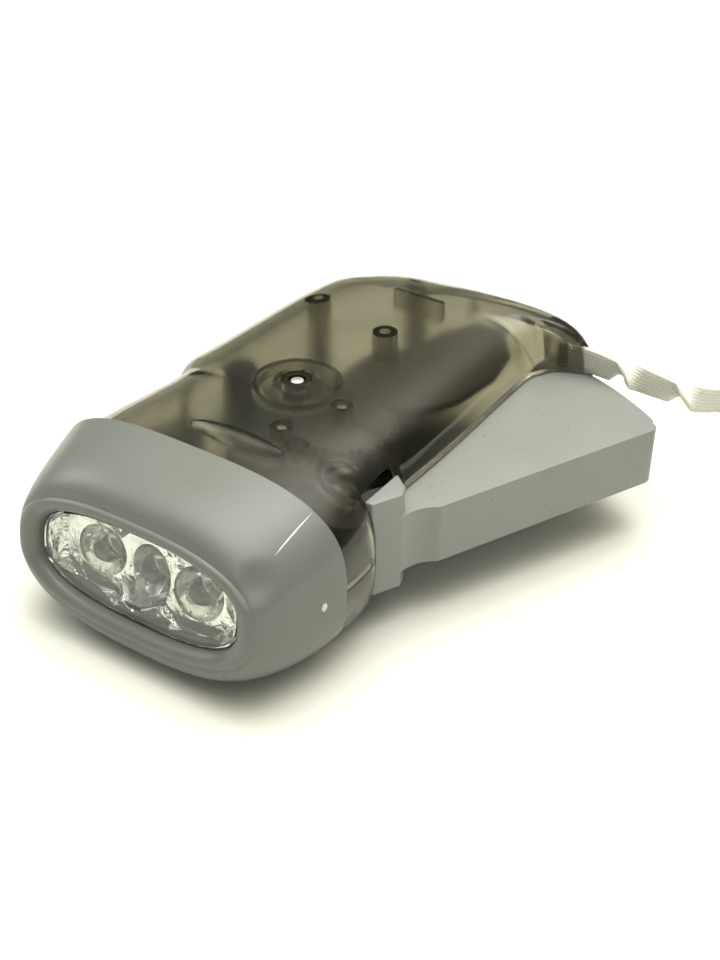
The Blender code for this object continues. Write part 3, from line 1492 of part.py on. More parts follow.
def lower_bores():
    first, second = gear_places()
    bm = bmesh.new()
    add_cylinder(
        bm, PIVOT_X, PIVOT_Y, BOSS_BORE_RADIUS,
        MIDPLANE - PIN_BOTTOM - SEAT_GAP, MIDPLANE - LEVER_HUB_BOTTOM + CUT_OVERRUN, AXLE_STEPS,
    )
    add_cylinder(
        bm, first[0], first[1], AXLE_BORE_RADIUS,
        MIDPLANE - AXLE_BOTTOM - SEAT_GAP, MIDPLANE + FIRST_PINION_LOW, AXLE_STEPS,
    )
    add_cylinder(
        bm, ROTOR_X, ROTOR_Y, BUSH_RADIUS + SEAT_GAP,
        MIDPLANE - SHAFT_BOTTOM - SEAT_GAP, MIDPLANE + YOKE_TOP - YOKE_HEIGHT + CUT_OVERRUN, ROUND_STEPS,
    )
    for x, y in shell_screw_places():
        seat = SCREW_SINK + SCREW_HEAD_HEIGHT + SEAT_GAP
        add_cylinder(bm, x, y, SCREW_HEAD_RADIUS + SEAT_GAP, -CUT_OVERRUN, seat, AXLE_STEPS)
    return make_object("lower_shell_bores_cut", bm, None)


def screw_clearance():
    bm = bmesh.new()
    for x, y in shell_screw_places():
        add_cylinder(bm, x, y, SCREW_RADIUS + SEAT_GAP, SCREW_SINK, MIDPLANE + CUT_OVERRUN, AXLE_STEPS)
    return make_object("lower_shell_screw_cut", bm, None)


def switch_opening(prefix):
    length = SLIDER_LENGTH + SLIDER_TRAVEL + 2 * RUN_GAP
    points = box_points(SWITCH_X, SWITCH_Y + SLIDER_TRAVEL / 2, SHELL_WALL * 4, length)
    half = SLIDER_HEIGHT / 2 + RUN_GAP
    return prism_object(prefix + "_switch_cut", points, MIDPLANE - half, MIDPLANE + half, None)


def slider_inner_x():
    return SWITCH_X + SHELL_WALL + SLIDER_STEP + SLIDER_PLATE


def switch_inner_x():
    return slider_inner_x() + SEAT_GAP


def build_lower_shell(material):
    half = build_shell_half("lower_shell", SHELL_BOTTOM_HEIGHT, -1, material)
    limit = build_shell_limit("lower_shell_limit", SHELL_BOTTOM_HEIGHT, -1)
    fittings = lower_fittings()
    add_boolean(fittings, limit, "INTERSECT")
    add_boolean(half, fittings, "UNION")
    tray = cell_tray()
    add_boolean(tray, limit, "INTERSECT")
    add_boolean(half, tray, "UNION")
    cut_side_openings(half, "lower_shell")
    add_boolean(half, lower_bores(), "DIFFERENCE")
    add_boolean(half, screw_clearance(), "DIFFERENCE")
    add_boolean(half, switch_opening("lower_shell"), "DIFFERENCE")
    return half


def build_coin_cell(material):
    low = MIDPLANE + CELL_BOTTOM
    high = low + CELL_HEIGHT
    edge = CELL_HEIGHT / 6
    profile = [
        (0, low),
        (CELL_RADIUS - edge, low),
        (CELL_RADIUS, low + edge),
        (CELL_RADIUS, high - edge),
        (CELL_RADIUS - edge, high),
        (0, high),
    ]
    return revolved_object("coin_cell", profile, CELL_X, CELL_Y, material)


def build_control_board(material):
    high = MIDPLANE + BOARD_TOP
    points = box_points(BOARD_X, BOARD_Y, BOARD_WIDTH, BOARD_LENGTH)
    return prism_object("control_board", points, high - BOARD_THICKNESS, high, material)


def build_capacitor(material):
    low = MIDPLANE + BOARD_TOP + SEAT_GAP
    high = low + CAPACITOR_HEIGHT
    edge = CAPACITOR_RADIUS / 8
    profile = [
        (0, low),
        (CAPACITOR_RADIUS, low),
        (CAPACITOR_RADIUS, low + edge * 3),
        (CAPACITOR_RADIUS - edge, low + edge * 4),
        (CAPACITOR_RADIUS, low + edge * 5),
        (CAPACITOR_RADIUS, high - edge),
        (CAPACITOR_RADIUS - edge, high),
        (CAPACITOR_RADIUS - edge * 2, high - edge),
        (0, high - edge),
    ]
    return revolved_object("storage_capacitor", profile, BOARD_X, CAPACITOR_Y, material)


def build_driver_chip(material):
    low = MIDPLANE + BOARD_TOP + SEAT_GAP
    points = box_points(BOARD_X, BOARD_Y + BOARD_LENGTH / 4, CHIP_WIDTH, CHIP_LENGTH)
    return prism_object("driver_chip", points, low, low + CHIP_HEIGHT, material)


def build_switch_body(material):
    points = box_points(
        switch_inner_x() + SWITCH_BODY_WIDTH / 2,
        SWITCH_Y,
        SWITCH_BODY_WIDTH,
        SWITCH_BODY_LENGTH,
    )
    half = SWITCH_BODY_HEIGHT / 2
    return prism_object("switch_body", points, MIDPLANE - half, MIDPLANE + half, material)


def build_switch_slider(material):
    inner = slider_inner_x()
    plate_points = box_points(
        inner - SLIDER_PLATE / 2,
        SWITCH_Y,
        SLIDER_PLATE,
        SLIDER_LENGTH + 2 * SLIDER_OVERLAP,
    )
    half = SLIDER_HEIGHT / 2
    slider = prism_object(
        "switch_slider",
        plate_points,
        MIDPLANE - half - SLIDER_OVERLAP,
        MIDPLANE + half + SLIDER_OVERLAP,
        material,
        (SWITCH_X, SWITCH_Y, MIDPLANE),
    )
    start = SWITCH_X - SLIDER_PROUD
    end = inner - SLIDER_PLATE / 2
    knob_points = box_points((start + end) / 2, SWITCH_Y, end - start, SLIDER_LENGTH)
    knob = prism_object("switch_slider_knob", knob_points, MIDPLANE - half, MIDPLANE + half, None)
    add_boolean(slider, knob, "UNION")
    return slider


def strap_station(share_x, share_y, share_z, turns):
    centre = Vector((
        STRAP_START_X + STRAP_REACH * share_x,
        STRAP_START_Y + STRAP_REACH * share_y,
        MIDPLANE + STRAP_START_Z + STRAP_DROP * share_z,
    ))
    return centre, pi * turns / 2


def curve_between(before, start, end, after, share):
    square = share * share
    cube = square * share
    return (
        start * 2
        + (end - before) * share
        + (before * 2 - start * 5 + end * 4 - after) * square
        + (start * 3 - before - end * 3 + after) * cube
    ) / 2


def strap_route():
    marks = [strap_station(*shares) for shares in STRAP_ROUTE_SHARES]
    last = len(marks) - 1
    stations = []
    for index in range(last):
        before = marks[max(index - 1, 0)][0]
        start, turn = marks[index]
        end, next_turn = marks[index + 1]
        after = marks[min(index + 2, last)][0]
        for step in range(STRAP_BENDS):
            share = step / STRAP_BENDS
            centre = curve_between(before, start, end, after, share)
            stations.append((centre, turn + (next_turn - turn) * share))
    stations.append(marks[last])
    return stations


def build_strap(material):
    stations = strap_route()
    bm = bmesh.new()
    rings = []
    count = len(stations)
    for index, (centre, turn) in enumerate(stations):
        before = stations[max(index - 1, 0)][0]
        after = stations[min(index + 1, count - 1)][0]
        forward = (after - before).normalized()
        aside = forward.cross(Vector((0, 0, 1))).normalized()
        upward = aside.cross(forward).normalized()
        wide = (upward * cos(turn) + aside * sin(turn)) * STRAP_WIDTH / 2
        thin = (aside * cos(turn) - upward * sin(turn)) * STRAP_THICKNESS / 2
        rings.append([
            centre - wide - thin,
            centre + wide - thin,
            centre + wide + thin,
            centre - wide + thin,
        ])
    bridge_rings(bm, rings, False)
    return make_object("wrist_strap", bm, material)


def move_to_origin():
    for item in bpy.data.objects:
        item.location.y -= ORIGIN_Y


def main():
    clear_objects()
    grey = grey_plastic()
    smoke = smoke_plastic()
    steel = turned_steel()
    black_acetal = nylon_dark()
    board = green_laminate()
    iron = rolled_iron()
    bronze = bearing_bronze()
    epoxy = clear_epoxy()
    build_head(grey)
    build_lens(clear_plastic())
    build_reflector(bright_chrome())
    for place in (-1, 0, 1):
        build_led(place, epoxy)
    build_led_board(board)
    build_upper_shell(smoke)
    build_lower_shell(smoke)
    build_lever(grey)
    build_pivot_pin(steel)
    build_spring(steel)
    build_first_gear(black_acetal)
    build_second_gear(black_acetal)
    build_first_axle(steel)
    build_second_axle(steel)
    build_rotor_shaft(steel)
    build_rotor_pinion(black_acetal)
    build_flywheel(zinc_casting())
    build_magnet(dark_ferrite())
    build_yoke("upper_yoke", 1, iron)
    build_yoke("lower_yoke", -1, iron)
    build_bobbin(black_acetal)
    build_winding(enamelled_copper())
    build_bush("upper_bush", MIDPLANE + BUSH_TOP - BUSH_LENGTH, MIDPLANE + BUSH_TOP, bronze)
    build_bush(
        "lower_bush",
        MIDPLANE - SHAFT_BOTTOM,
        MIDPLANE + YOKE_TOP - YOKE_HEIGHT - SEAT_GAP,
        bronze,
    )
    for index, place in enumerate(shell_screw_places()):
        build_screw(index + 1, place, steel)
    build_coin_cell(cell_steel())
    build_control_board(board)
    build_capacitor(sleeve_blue())
    build_driver_chip(black_acetal)
    build_switch_body(black_acetal)
    build_switch_slider(grey)
    build_strap(woven_nylon())
    move_to_origin()


main()
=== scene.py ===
"""Hand-squeezed dynamo torch: the shown pieces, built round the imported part's fixed frame."""

from math import acos, atan2, cos, hypot, pi, radians, sin, sqrt, tan

import bmesh
import bpy
from bpy.props import FloatProperty, FloatVectorProperty, IntProperty, PointerProperty
from bpy.types import Operator, Panel, PropertyGroup
from mathutils import Matrix, Vector
from mathutils.bvhtree import BVHTree


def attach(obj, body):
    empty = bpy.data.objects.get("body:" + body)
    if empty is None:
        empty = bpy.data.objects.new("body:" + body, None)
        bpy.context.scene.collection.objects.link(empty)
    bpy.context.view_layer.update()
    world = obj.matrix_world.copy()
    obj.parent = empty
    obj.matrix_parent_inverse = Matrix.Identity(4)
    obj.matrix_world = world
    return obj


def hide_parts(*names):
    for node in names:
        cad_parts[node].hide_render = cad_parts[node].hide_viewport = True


bl_info = {
    "name": "Squeeze Dynamo Torch",
    "version": (1, 0, 0),
    "blender": (4, 5, 0),
    "location": "3D View > Sidebar > Torch",
    "description": "Builds a hand-squeezed dynamo torch round its packed frame",
    "category": "Add Mesh",
}

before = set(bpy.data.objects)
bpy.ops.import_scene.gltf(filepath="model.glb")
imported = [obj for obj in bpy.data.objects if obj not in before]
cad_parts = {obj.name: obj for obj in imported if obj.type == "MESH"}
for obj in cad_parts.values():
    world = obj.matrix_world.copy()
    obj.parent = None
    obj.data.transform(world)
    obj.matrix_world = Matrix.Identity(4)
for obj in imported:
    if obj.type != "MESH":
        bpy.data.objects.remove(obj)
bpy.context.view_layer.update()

# Height at which the two shells meet, in metres.
MIDPLANE = 0.0163


def span(low, high):
    """Heights of two levels that are measured from the midplane."""
    return (MIDPLANE + low, MIDPLANE + high)


# Places on the torch, in metres behind the lens opening; ORIGIN_Y moves them into the frame.
ORIGIN_Y = 0.0480
SEAM_Y = 0.0165
PIVOT_X = 0.0217
PIVOT_Y = 0.0275
PIVOT_PLACE = (PIVOT_X, PIVOT_Y)
ROTOR_PLACE = (0.0, 0.0448)
BOARD_X = -0.0174
BOARD_Y = 0.0560
BOARD_TOP = MIDPLANE - 0.0030
CHIP_Y = BOARD_Y + 0.0060
CAPACITOR_PLACE = (BOARD_X, 0.0500)
POST_PLACES = ((0.0029, 0.0686), (-0.0155, 0.0730), (-0.0050, 0.0925))
SMALL_BOSS = (0.0118, 0.0285)
RIB_PLACE = (0.0004, 0.0846)
REAR_RIB_PLACE = (0.0065, 0.0956)
ANCHOR_PLACE = (0.0278, 0.0920)
SNAP_PLACE = (0.0034, 0.0233)
CELL_PLACE = (-0.0122, 0.0250)
SWITCH_PLACE = (-0.0246, 0.0325)
CELL_POST_PLACE = (-0.0185, 0.0372)
STRAP_HOLE_PLACE = (0.04405, 0.0909)
STRAP_HOLE_SIZE = (0.0319, 0.0016)
STRAP_HOLE_SPAN = span(0.0042, 0.0116)
SWITCH_CUT_PLACE = (SWITCH_PLACE[0], 0.0335)
SWITCH_CUT_SIZE = (0.0072, 0.0090)
SWITCH_CUT_HALF_HEIGHT = 0.0025

# Marks on the head: the ends of its parting ridge seen from above, a sink mark and the gate's mark.
RIDGE_RUN = ((0.02318, 0.00716), (0.02372, 0.01612))
RIDGE_STEPS = 24
RIDGE_SIDES = 10
SINK_MARK_PLACE = Vector((0.0233, 0.0024, 0.0243))
SINK_MARK_RADIUS = 0.0042
GATE_MARK_PLACE = (0.0290, 0.01173, 0.0163)
GATE_MARK_RADIUS = 0.0009
GATE_MARK_SHARES = (0.35, 0.8, 1.0)
# Section of the black ring in the seam, a painted shadow of the joint: inset from the head's outside, and
# distance behind the seam.
SEAM_SHADOW_SECTION = ((0.00025, 0.00002), (0.00025, 0.00028), (0.0013, 0.00028), (0.0013, 0.00002))

# Lamps: depth of the reflecting cup behind the tip, the collar, and profiles by radius and depth.
LAMP_CUP_DEPTH = 0.0040
LAMP_COLLAR_WIDTH = 0.0004
LAMP_COLLAR_DEPTH = 0.001
LAMP_BASE_INSET = 0.0002
LAMP_CUP_PROFILE = (
    (0.0, 0.0005), (0.0006, 0.0005), (0.0013, 0.0), (0.0014, 0.0), (0.0010, 0.0012), (0.0, 0.0012),
)
LAMP_DIE_PROFILE = ((0.0, 0.0), (0.0006, 0.0001), (0.0, 0.0003))
LAMP_SHIELD_RADIUS = 0.0022
LAMP_SHIELD_SPAN = (0.0014, 0.0011)
# Each lead: its offset from the lamp's axis, and where it starts behind the cup.
LAMP_LEADS = ((-0.0002, 0.0011), (0.0014, 0.0002))
LAMP_LEAD_SECTION = (0.0006, 0.0005)

# Radii of bosses and bores inside the shells.
GEAR_BOSS_RADIUS = 0.0020
BUSH_BOSS_RADIUS = 0.0044
LOWER_POST_RADIUS = 0.0028
BOARD_POST_RADIUS = 0.0014
PIN_BORE_RADIUS = 0.00155
AXLE_BORE_RADIUS = 0.0011
STUD_BORE_RADIUS = 0.0009
BUSH_BORE_RADIUS = 0.0029
SCREW_BORE_RADIUS = 0.00105
SCREW_HEAD_BORE_RADIUS = 0.0021
SCREW_HEAD_BORE_TOP = 0.0037
SCREW_SHANK_LOW = 0.0022
BOARD_POST_OFFSET = 0.0080
RIB_LENGTH = 0.0110
ANCHOR_SIZE = (0.0055, 0.0050)
# Module and teeth of the sector's and gears' meshes, and the bearing of the first gear from the pivot.
LEVER_MESH = (0.0007, 36, 9)
GEAR_MESH = (0.0006, 31, 9)
ROTOR_MESH = (0.0005, 36, 9)
FIRST_GEAR_BEARING = 2.885
# Turns of the coil, and the screws' cross slots and threads.
COIL_INNER_RADIUS = 0.00910
COIL_OUTER_RADIUS = 0.01008
COIL_SPAN = span(-0.01045, -0.00595)
CROSS_SLOT_SIZE = (0.0020, 0.00045)
CROSS_SLOT_SPAN = (0.0010, 0.0030)
THREAD_RADIUS = 0.00075
THREAD_CREST = 0.00013
THREAD_SPAN = span(-0.0010, 0.0043)
# Solder joints: offsets of leads and pads, and the depth of the lamps' board.
LEAD_OFFSET = 0.00127
LAMP_BOARD_DEPTH = 0.0014
PAD_OFFSET = 0.0038
PAD_PITCH = 0.0036
FIRST_PAD_Y = BOARD_Y - 0.0100
# Grooves of the slider and pins of the switch: offset of the first, pitch, number, size, half height.
GROOVES = ((-0.0012, -0.0020), 0.0010, 5, (0.0007, 0.0004), 0.0030)
SWITCH_PINS = ((0.0090, -0.0025), 0.0025, 3, (0.0022, 0.0006), 0.00015)
# Openings in the right side: inner and outer end, front of the slot, and the window in front of it.
OPENING_INNER_X = 0.0190
OPENING_OUTER_X = 0.0600
SLOT_START_Y = 0.0380
WINDOW_MIDDLE_Y = 0.03225
WINDOW_LENGTH = 0.0121
WINDOW_SPAN = span(-0.0098, 0.0114)
# Section of the tray that holds the cell, by radius and height.
CELL_TRAY_FLOOR = MIDPLANE - 0.0107
CELL_TRAY_RIM = CELL_TRAY_FLOOR + 0.0016
CELL_TRAY_PROFILE = (
    (0.0074, 0.0), (0.0110, 0.0), (0.0110, CELL_TRAY_RIM),
    (0.0098, CELL_TRAY_RIM), (0.0098, CELL_TRAY_FLOOR), (0.0074, CELL_TRAY_FLOOR),
)

# Outlines and undersides of the two black plates: the cover over the lever's sweep, the seat of its spring.
SWEEP_COVER_OUTLINE = (
    (-0.0010, 0.0545), (0.0110, 0.0535), (0.0170, 0.0575), (0.0205, 0.0650), (0.0215, 0.0760),
    (0.0200, 0.0850), (0.0150, 0.0915), (0.0100, 0.0910), (0.0062, 0.0830), (0.0044, 0.0745),
    (-0.0004, 0.0720), (-0.0012, 0.0640),
)
SWEEP_COVER_LOW = MIDPLANE + 0.0066
SPRING_SEAT_OUTLINE = (
    (0.0110, 0.0205), (0.0200, 0.0200), (0.0226, 0.0225), (0.0228, 0.0330), (0.0210, 0.0368),
    (0.0125, 0.0372), (0.0098, 0.0340), (0.0096, 0.0230),
)
SPRING_SEAT_LOW = MIDPLANE - 0.0111

# The lever: its grip, where the black painted shade on its hub and inner part ends, and the block that turns
# on the pivot.
LEVER_INNER_X = 0.0243
LEVER_HOLLOW_Y = 0.0400
HUB_SHADE_X = 0.0262
HUB_SHADE_Y = 0.0385
LEVER_FRONT = (0.0340, 0.0379)
LEVER_CORNER_ANGLE = 1.027
LEVER_REAR_ANGLE = 1.53
BLOCK_FRONT = (0.0279, 0.0268)
BLOCK_SIDE = (0.0304, 0.0318)
BLOCK_BACK = (0.0295, 0.0341)
BLOCK_REAR = (0.0268, 0.0362)
BLOCK_INNER_X = PIVOT_X + 0.0047
BLOCK_SPAN = span(-0.0086, 0.0102)
HUB_SPAN = span(-0.0086, 0.0057)
HUB_BORE_RADIUS = 0.0016
HUB_BORE_SPAN = span(-0.0106, 0.0077)
POCKET_RADIUS = 0.0032
POCKET_SPAN = span(-0.0106, -0.0044)
SECTOR_SPAN = span(0.0010, 0.0046)
# The strap: its start, its exit from the frame, the points between two marks, and its stitches.
STRAP_START = Vector((0.0284, 0.0909, 0.0251))
STRAP_BENDS = 6
STITCH_COUNT = 28
STITCH_ROW_SHARES = (-0.32, 0.32)
STITCH_STRETCH = (0.9, 0.9, 2.2)

# Shape of a gear tooth: pressure angle, then foot, head and thickness as shares of the module or pitch.
PRESSURE_ANGLE = 0.349
TOOTH_FOOT = 1.20
TOOTH_HEAD = 0.85
TOOTH_THICKNESS = 0.36

# The camera, in millimetres of lens, metres, and degrees.
CAMERA_LENS = 52.40
CAMERA_PLACE = Vector((0.12742, -0.17305, 0.15681))
CAMERA_BEARING = 33.878
CAMERA_RISE = 34.644
CAMERA_ROLL = 0.251
# Where the soft dome above is brightest.
DOME_AIM = Vector((0.0, 0.18, 1.0)).normalized()
# Places and widths of the small softboxes that draw the highlights on the lip and in the cups.
SIDE_LIGHT_PLACE = Vector((-0.90, -0.10, 0.62))
SIDE_LIGHT_WIDTH = 0.45
FRONT_LIGHT_PLACE = Vector((0.55, -0.95, 0.80))
FRONT_LIGHT_WIDTH = 0.30
FLOOR_HALF_WIDTH = 15.0

# How far a cutting shape passes the surface it cuts, what welds points, and the play between still pieces.
OVERRUN = 0.002
WELD = 0.00001
GAP = 0.0003
# How near the outside a shell's face counts as polished, and how deep in the wall its inside ends.
POLISHED_REACH = 0.00006
LIMIT_SHARE = 0.4
# How far the edges of copied pieces are broken.
TOOTH_EDGE = 0.00004
SCREW_EDGE = 0.00006
MOULDED_EDGE = 0.00008
FINE_EDGE = 0.0001
TURNED_EDGE = 0.00015
CAST_EDGE = 0.0002
SLIDER_EDGE = 0.00025
CELL_EDGE = 0.0003

# Curve strengths of the head, the lens opening and the shell's rounded section.
SECTION_POWER = 3.1
HEAD_FRONT_POWER = 2.6
LENS_POWER = 2.7
HEAD_WIDTH_POWER = 1.27
HEAD_HEIGHT_POWER = 2.43
HEAD_SHARES = (
    0.0, 0.006, 0.015, 0.03, 0.055, 0.09, 0.13, 0.18, 0.24,
    0.30, 0.38, 0.46, 0.56, 0.66, 0.75, 0.84, 0.92, 1.0,
)
LIP_ROLL_SHARES = (
    (0.04, -0.22), (0.10, -0.42), (0.17, -0.58), (0.26, -0.70), (0.36, -0.74), (0.46, -0.72),
    (0.57, -0.60), (0.68, -0.42), (0.78, -0.17), (0.88, 0.12), (0.95, 0.48), (1.0, 1.0),
)
# Share of the straight part's length, left width, right width, rounded edge length.
SHELL_SIDE_SHARES = (
    (0.000, 1.066, 1.095, 1.85),
    (0.047, 1.037, 1.100, 1.75),
    (0.122, 0.993, 1.085, 1.50),
    (0.160, 0.967, 1.050, 1.38),
    (0.206, 0.937, 1.025, 1.24),
    (0.259, 0.902, 1.005, 1.10),
    (0.312, 0.882, 0.996, 1.00),
    (0.339, 0.880, 0.994, 1.00),
    (0.365, 0.929, 0.994, 1.00),
    (0.402, 0.956, 0.996, 1.00),
    (0.500, 0.943, 1.000, 1.00),
    (0.652, 0.929, 0.995, 1.00),
    (0.803, 0.913, 0.985, 1.00),
    (0.924, 0.886, 0.982, 1.00),
    (1.000, 0.842, 0.985, 1.00),
)
# Rear outline from the right side round to the left: width share, rear length share.
SHELL_REAR_SHARES = (
    (1.022, 0.137), (1.075, 0.290), (1.180, 0.395), (1.315, 0.490), (1.275, 0.655), (1.165, 0.765),
    (1.030, 0.830), (0.880, 0.878), (0.700, 0.918), (0.463, 0.966), (0.202, 0.985), (-0.037, 0.960),
    (-0.268, 0.870), (-0.460, 0.730), (-0.607, 0.534), (-0.728, 0.298),
)
SHELL_RISE_SHARES = (
    0.0, 0.003, 0.010, 0.022, 0.042, 0.070, 0.105, 0.150,
    0.205, 0.270, 0.350, 0.450, 0.570, 0.700, 0.850, 1.0,
)
# Facets round a reflector cup, their rows, how far every second corner stands out as a share, how far the
# corners stray in depth, and the rows of the smooth bowl.
CUP_FACETS = 16
CUP_ROWS = 5
FACET_BOW = 0.07
FACET_CRINKLE = 0.0008
BOWL_ROWS = 12
# Strap route: x and y as shares of its reach, z of its drop to the table, then quarter turns of the tape.
STRAP_ROUTE_SHARES = (
    (0.0, 0.0, 0.0, 0.0), (0.092, -0.002, 0.0, 0.0), (0.172, -0.006, -0.004, 0.0),
    (0.224, 0.002, -0.027, 0.1), (0.27, 0.022, -0.058, 1.0), (0.318, 0.042, -0.089, 1.9),
    (0.378, 0.06, -0.125, 2.0), (0.438, 0.078, -0.161, 2.1), (0.484, 0.094, -0.192, 3.0),
    (0.522, 0.13, -0.232, 3.9), (0.552, 0.182, -0.277, 4.0), (0.588, 0.252, -0.335, 4.0),
    (0.672, 0.332, -0.504, 4.0), (0.792, 0.374, -0.772, 4.0), (0.932, 0.382, -0.982, 4.0),
    (1.032, 0.382, -1.0, 4.0), (1.112, 0.386, -1.0, 4.0), (1.232, 0.422, -1.0, 4.0),
    (1.392, 0.492, -1.0, 4.0), (1.572, 0.522, -1.0, 4.0), (1.732, 0.452, -1.0, 4.0),
    (1.812, 0.302, -1.0, 4.0), (1.772, 0.132, -1.0, 4.0), (1.632, 0.022, -1.0, 4.0),
    (1.452, 0.032, -1.0, 4.0), (1.312, 0.142, -1.0, 4.0), (1.212, 0.272, -1.0, 4.0),
    (1.132, 0.34, -1.0, 4.0), (1.062, 0.357, -1.0, 4.0), (1.012, 0.358, -1.0, 4.0),
    (0.972, 0.358, -1.0, 4.0),
)


def to_linear(code):
    """Linear colour of an sRGB hex code."""
    levels = []
    for start in (1, 3, 5):
        share = int(code[start:start + 2], 16) / 255
        levels.append(share / 12.92 if share <= 0.04045 else ((share + 0.055) / 1.055) ** 2.4)
    return (*levels, 1.0)


def length(name, description, value):
    return FloatProperty(name=name, description=description, default=value, unit="LENGTH", precision=5)


def amount(name, description, value):
    return FloatProperty(name=name, description=description, default=value, precision=3)


def steps(name, description, value):
    return IntProperty(name=name, description=description, default=value, min=3)


def hue(name, description, code):
    colour = to_linear(code)
    return FloatVectorProperty(
        name=name, description=description, default=colour, size=4, min=0.0, max=1.0, subtype="COLOR",
    )


class TorchHeadSizes(PropertyGroup):
    """The lamp head, its lens opening and what stands behind it."""
    half_width: length("Half width", "Half of the head's width at the seam", 0.0300)
    half_height: length("Half height", "Half of the head's height at the seam", 0.0167)
    wall: length("Wall", "Thickness of the head moulding", 0.0018)
    lip_y: length("Lip front", "Front of the lip, measured from the lens opening", -0.0008)
    lip_half_width: length("Lip half width", "Half width of the lip's outer edge", 0.0247)
    lip_half_height: length("Lip half height", "Half height of the lip's outer edge", 0.0107)
    lip_depth: length("Lip depth", "How far the lip rolls forward", 0.0010)
    lens_half_width: length("Lens half width", "Half width of the lens opening", 0.0209)
    lens_half_height: length("Lens half height", "Half height of the lens opening", 0.0083)
    lens_inset: length("Lens inset", "How far the window sits behind the opening", 0.0005)
    lens_thickness: length("Lens thickness", "Thickness of the clear window", 0.0012)
    tilt: FloatProperty(name="Tilt", description="Lean of the opening", default=0.19, unit="ROTATION")
    sleeve_wall: length("Sleeve wall", "Wall of the sleeve that carries the reflector", 0.0012)
    sleeve_start: length("Sleeve start", "Front of the sleeve", 0.0024)
    sleeve_end: length("Sleeve end", "Rear of the sleeve", 0.0090)
    reflector_depth: length("Reflector depth", "Depth of the metallised reflector", 0.0068)
    cup_radius: length("Cup radius", "Mouth radius of each reflector cup", 0.0100)
    cup_neck: length("Cup neck", "Radius of each cup where the lamp passes", 0.00262)
    cup_depth: length("Cup depth", "Depth of the curved part of a cup", 0.0062)
    bowl_radius: length("Bowl radius", "Rim radius of the smooth bowl round a lamp", 0.0048)
    bowl_start: length("Bowl start", "Depth at which the facets end and the bowl starts", 0.0026)
    lamp_pitch: length("Lamp pitch", "Distance between neighbouring lamps", 0.0102)
    lamp_radius: length("Lamp radius", "Radius of a five millimetre lamp", 0.0025)
    lamp_length: length("Lamp length", "Length of a lamp body", 0.0086)
    lamp_front: length("Lamp front", "Tip of the lamps behind the opening", 0.0032)
    ridge_radius: length("Ridge radius", "Radius of the fine parting ridge", 0.00014)
    dimple_depth: length("Dimple depth", "Depth of the sink mark beside the lens", 0.0009)
    ring_steps: steps("Ring steps", "Points round the head", 144)


class TorchShellSizes(PropertyGroup):
    """The two smoke shell halves and what is moulded inside them."""
    half_width: length("Half width", "Reference half width of the shell", 0.0272)
    top_height: length("Top height", "Rise of the upper half above the parting line", 0.0159)
    bottom_height: length("Bottom height", "Drop of the lower half below the parting line", 0.0167)
    wall: length("Wall", "Thickness of the shell", 0.0018)
    edge: length("Rounded edge", "Length of the rounded edge, measured inwards", 0.0160)
    front_y: length("Front", "Front of the shell behind the lens opening", 0.0168)
    spine_end_y: length("Spine end", "Where the rounded rear starts", 0.0830)
    rear_y: length("Rear", "Rear reach of the shell", 0.0991)
    parting_gap: length("Parting gap", "Gap between the two halves", 0.0003)
    slot_half_height: length("Slot half height", "Half height of the lever slot", 0.0062)
    slot_reach: length("Slot reach", "Rear radius of the lever slot from the pivot", 0.0672)
    boss_radius: length("Boss radius", "Radius of the pivot bosses", 0.0032)
    post_radius: length("Post radius", "Radius of the upper screw posts", 0.0024)
    ring_radius: length("Ring radius", "Radius of the ring round the rotor bush", 0.0081)
    ring_wall: length("Ring wall", "Wall of that ring", 0.0013)
    ring_drop: length("Ring drop", "How far the ring stands into the shell", 0.0020)
    pivot_ring: length("Pivot ring", "Radius of the ring moulded round the lever's pivot boss", 0.0047)
    pivot_ring_wall: length("Pivot ring wall", "Wall of that ring", 0.0010)
    plate_thickness: length("Plate thickness", "Thickness of the black plates inside", 0.0013)
    rib_thickness: length("Rib thickness", "Thickness of the stiffening ribs", 0.0012)
    snap_length: length("Snap length", "Length of the recess over the front snap", 0.0190)
    snap_width: length("Snap width", "Width of the recess over the front snap", 0.0052)
    snap_depth: length("Snap depth", "Depth of the recess over the front snap", 0.0011)
    outline_steps: steps("Outline steps", "Points between two outline marks", 4)


class TorchLeverSizes(PropertyGroup):
    """The squeeze lever and its toothed sector."""
    half_height: length("Half height", "Half of the grip's height", 0.0057)
    wall: length("Wall", "Wall of the hollow grip", 0.0020)
    rear_reach: length("Rear reach", "Reach of the grip's rear end from the pivot", 0.0662)
    corner_reach: length("Corner reach", "Reach of the grip's outer corner from the pivot", 0.0626)
    edge_radius: length("Edge radius", "Rounding of the grip's edges", 0.0007)
    corner_rounding: length("Corner rounding", "How far the rounding of the outer corner reaches", 0.0022)
    block_edge: length("Block edge", "Rounding of the pivot block's edges", 0.0004)
    hub_radius: length("Hub radius", "Radius of the pivot hub", 0.0046)
    tooth_module: length("Tooth module", "Module of the sector's teeth", 0.0007)
    sector_teeth: steps("Sector teeth", "Teeth on the sector's full circle", 36)


class TorchTrimSizes(PropertyGroup):
    """The wrist strap, its stitches, the coil and the solder joints."""
    strap_width: length("Strap width", "Width of the woven tape", 0.0050)
    strap_thickness: length("Strap thickness", "Thickness of the woven tape", 0.0009)
    strap_reach: length("Strap reach", "Length that the route's shares are measured in", 0.0500)
    strap_drop: length("Strap drop", "Height from the strap's hole down to where it rests", 0.0224)
    strap_length: length("Strap length", "Real length of the visible tape", 0.1750)
    stitch_radius: length("Stitch radius", "Radius of the sewing thread", 0.00016)
    stitch_pitch: length("Stitch pitch", "Distance between stitches", 0.0009)
    wire_radius: length("Wire radius", "Radius of the enamelled coil wire", 0.00014)
    solder_radius: length("Solder radius", "Radius of a solder joint", 0.00055)
    thread_pitch: length("Thread pitch", "Pitch of the screws' thread", 0.00055)


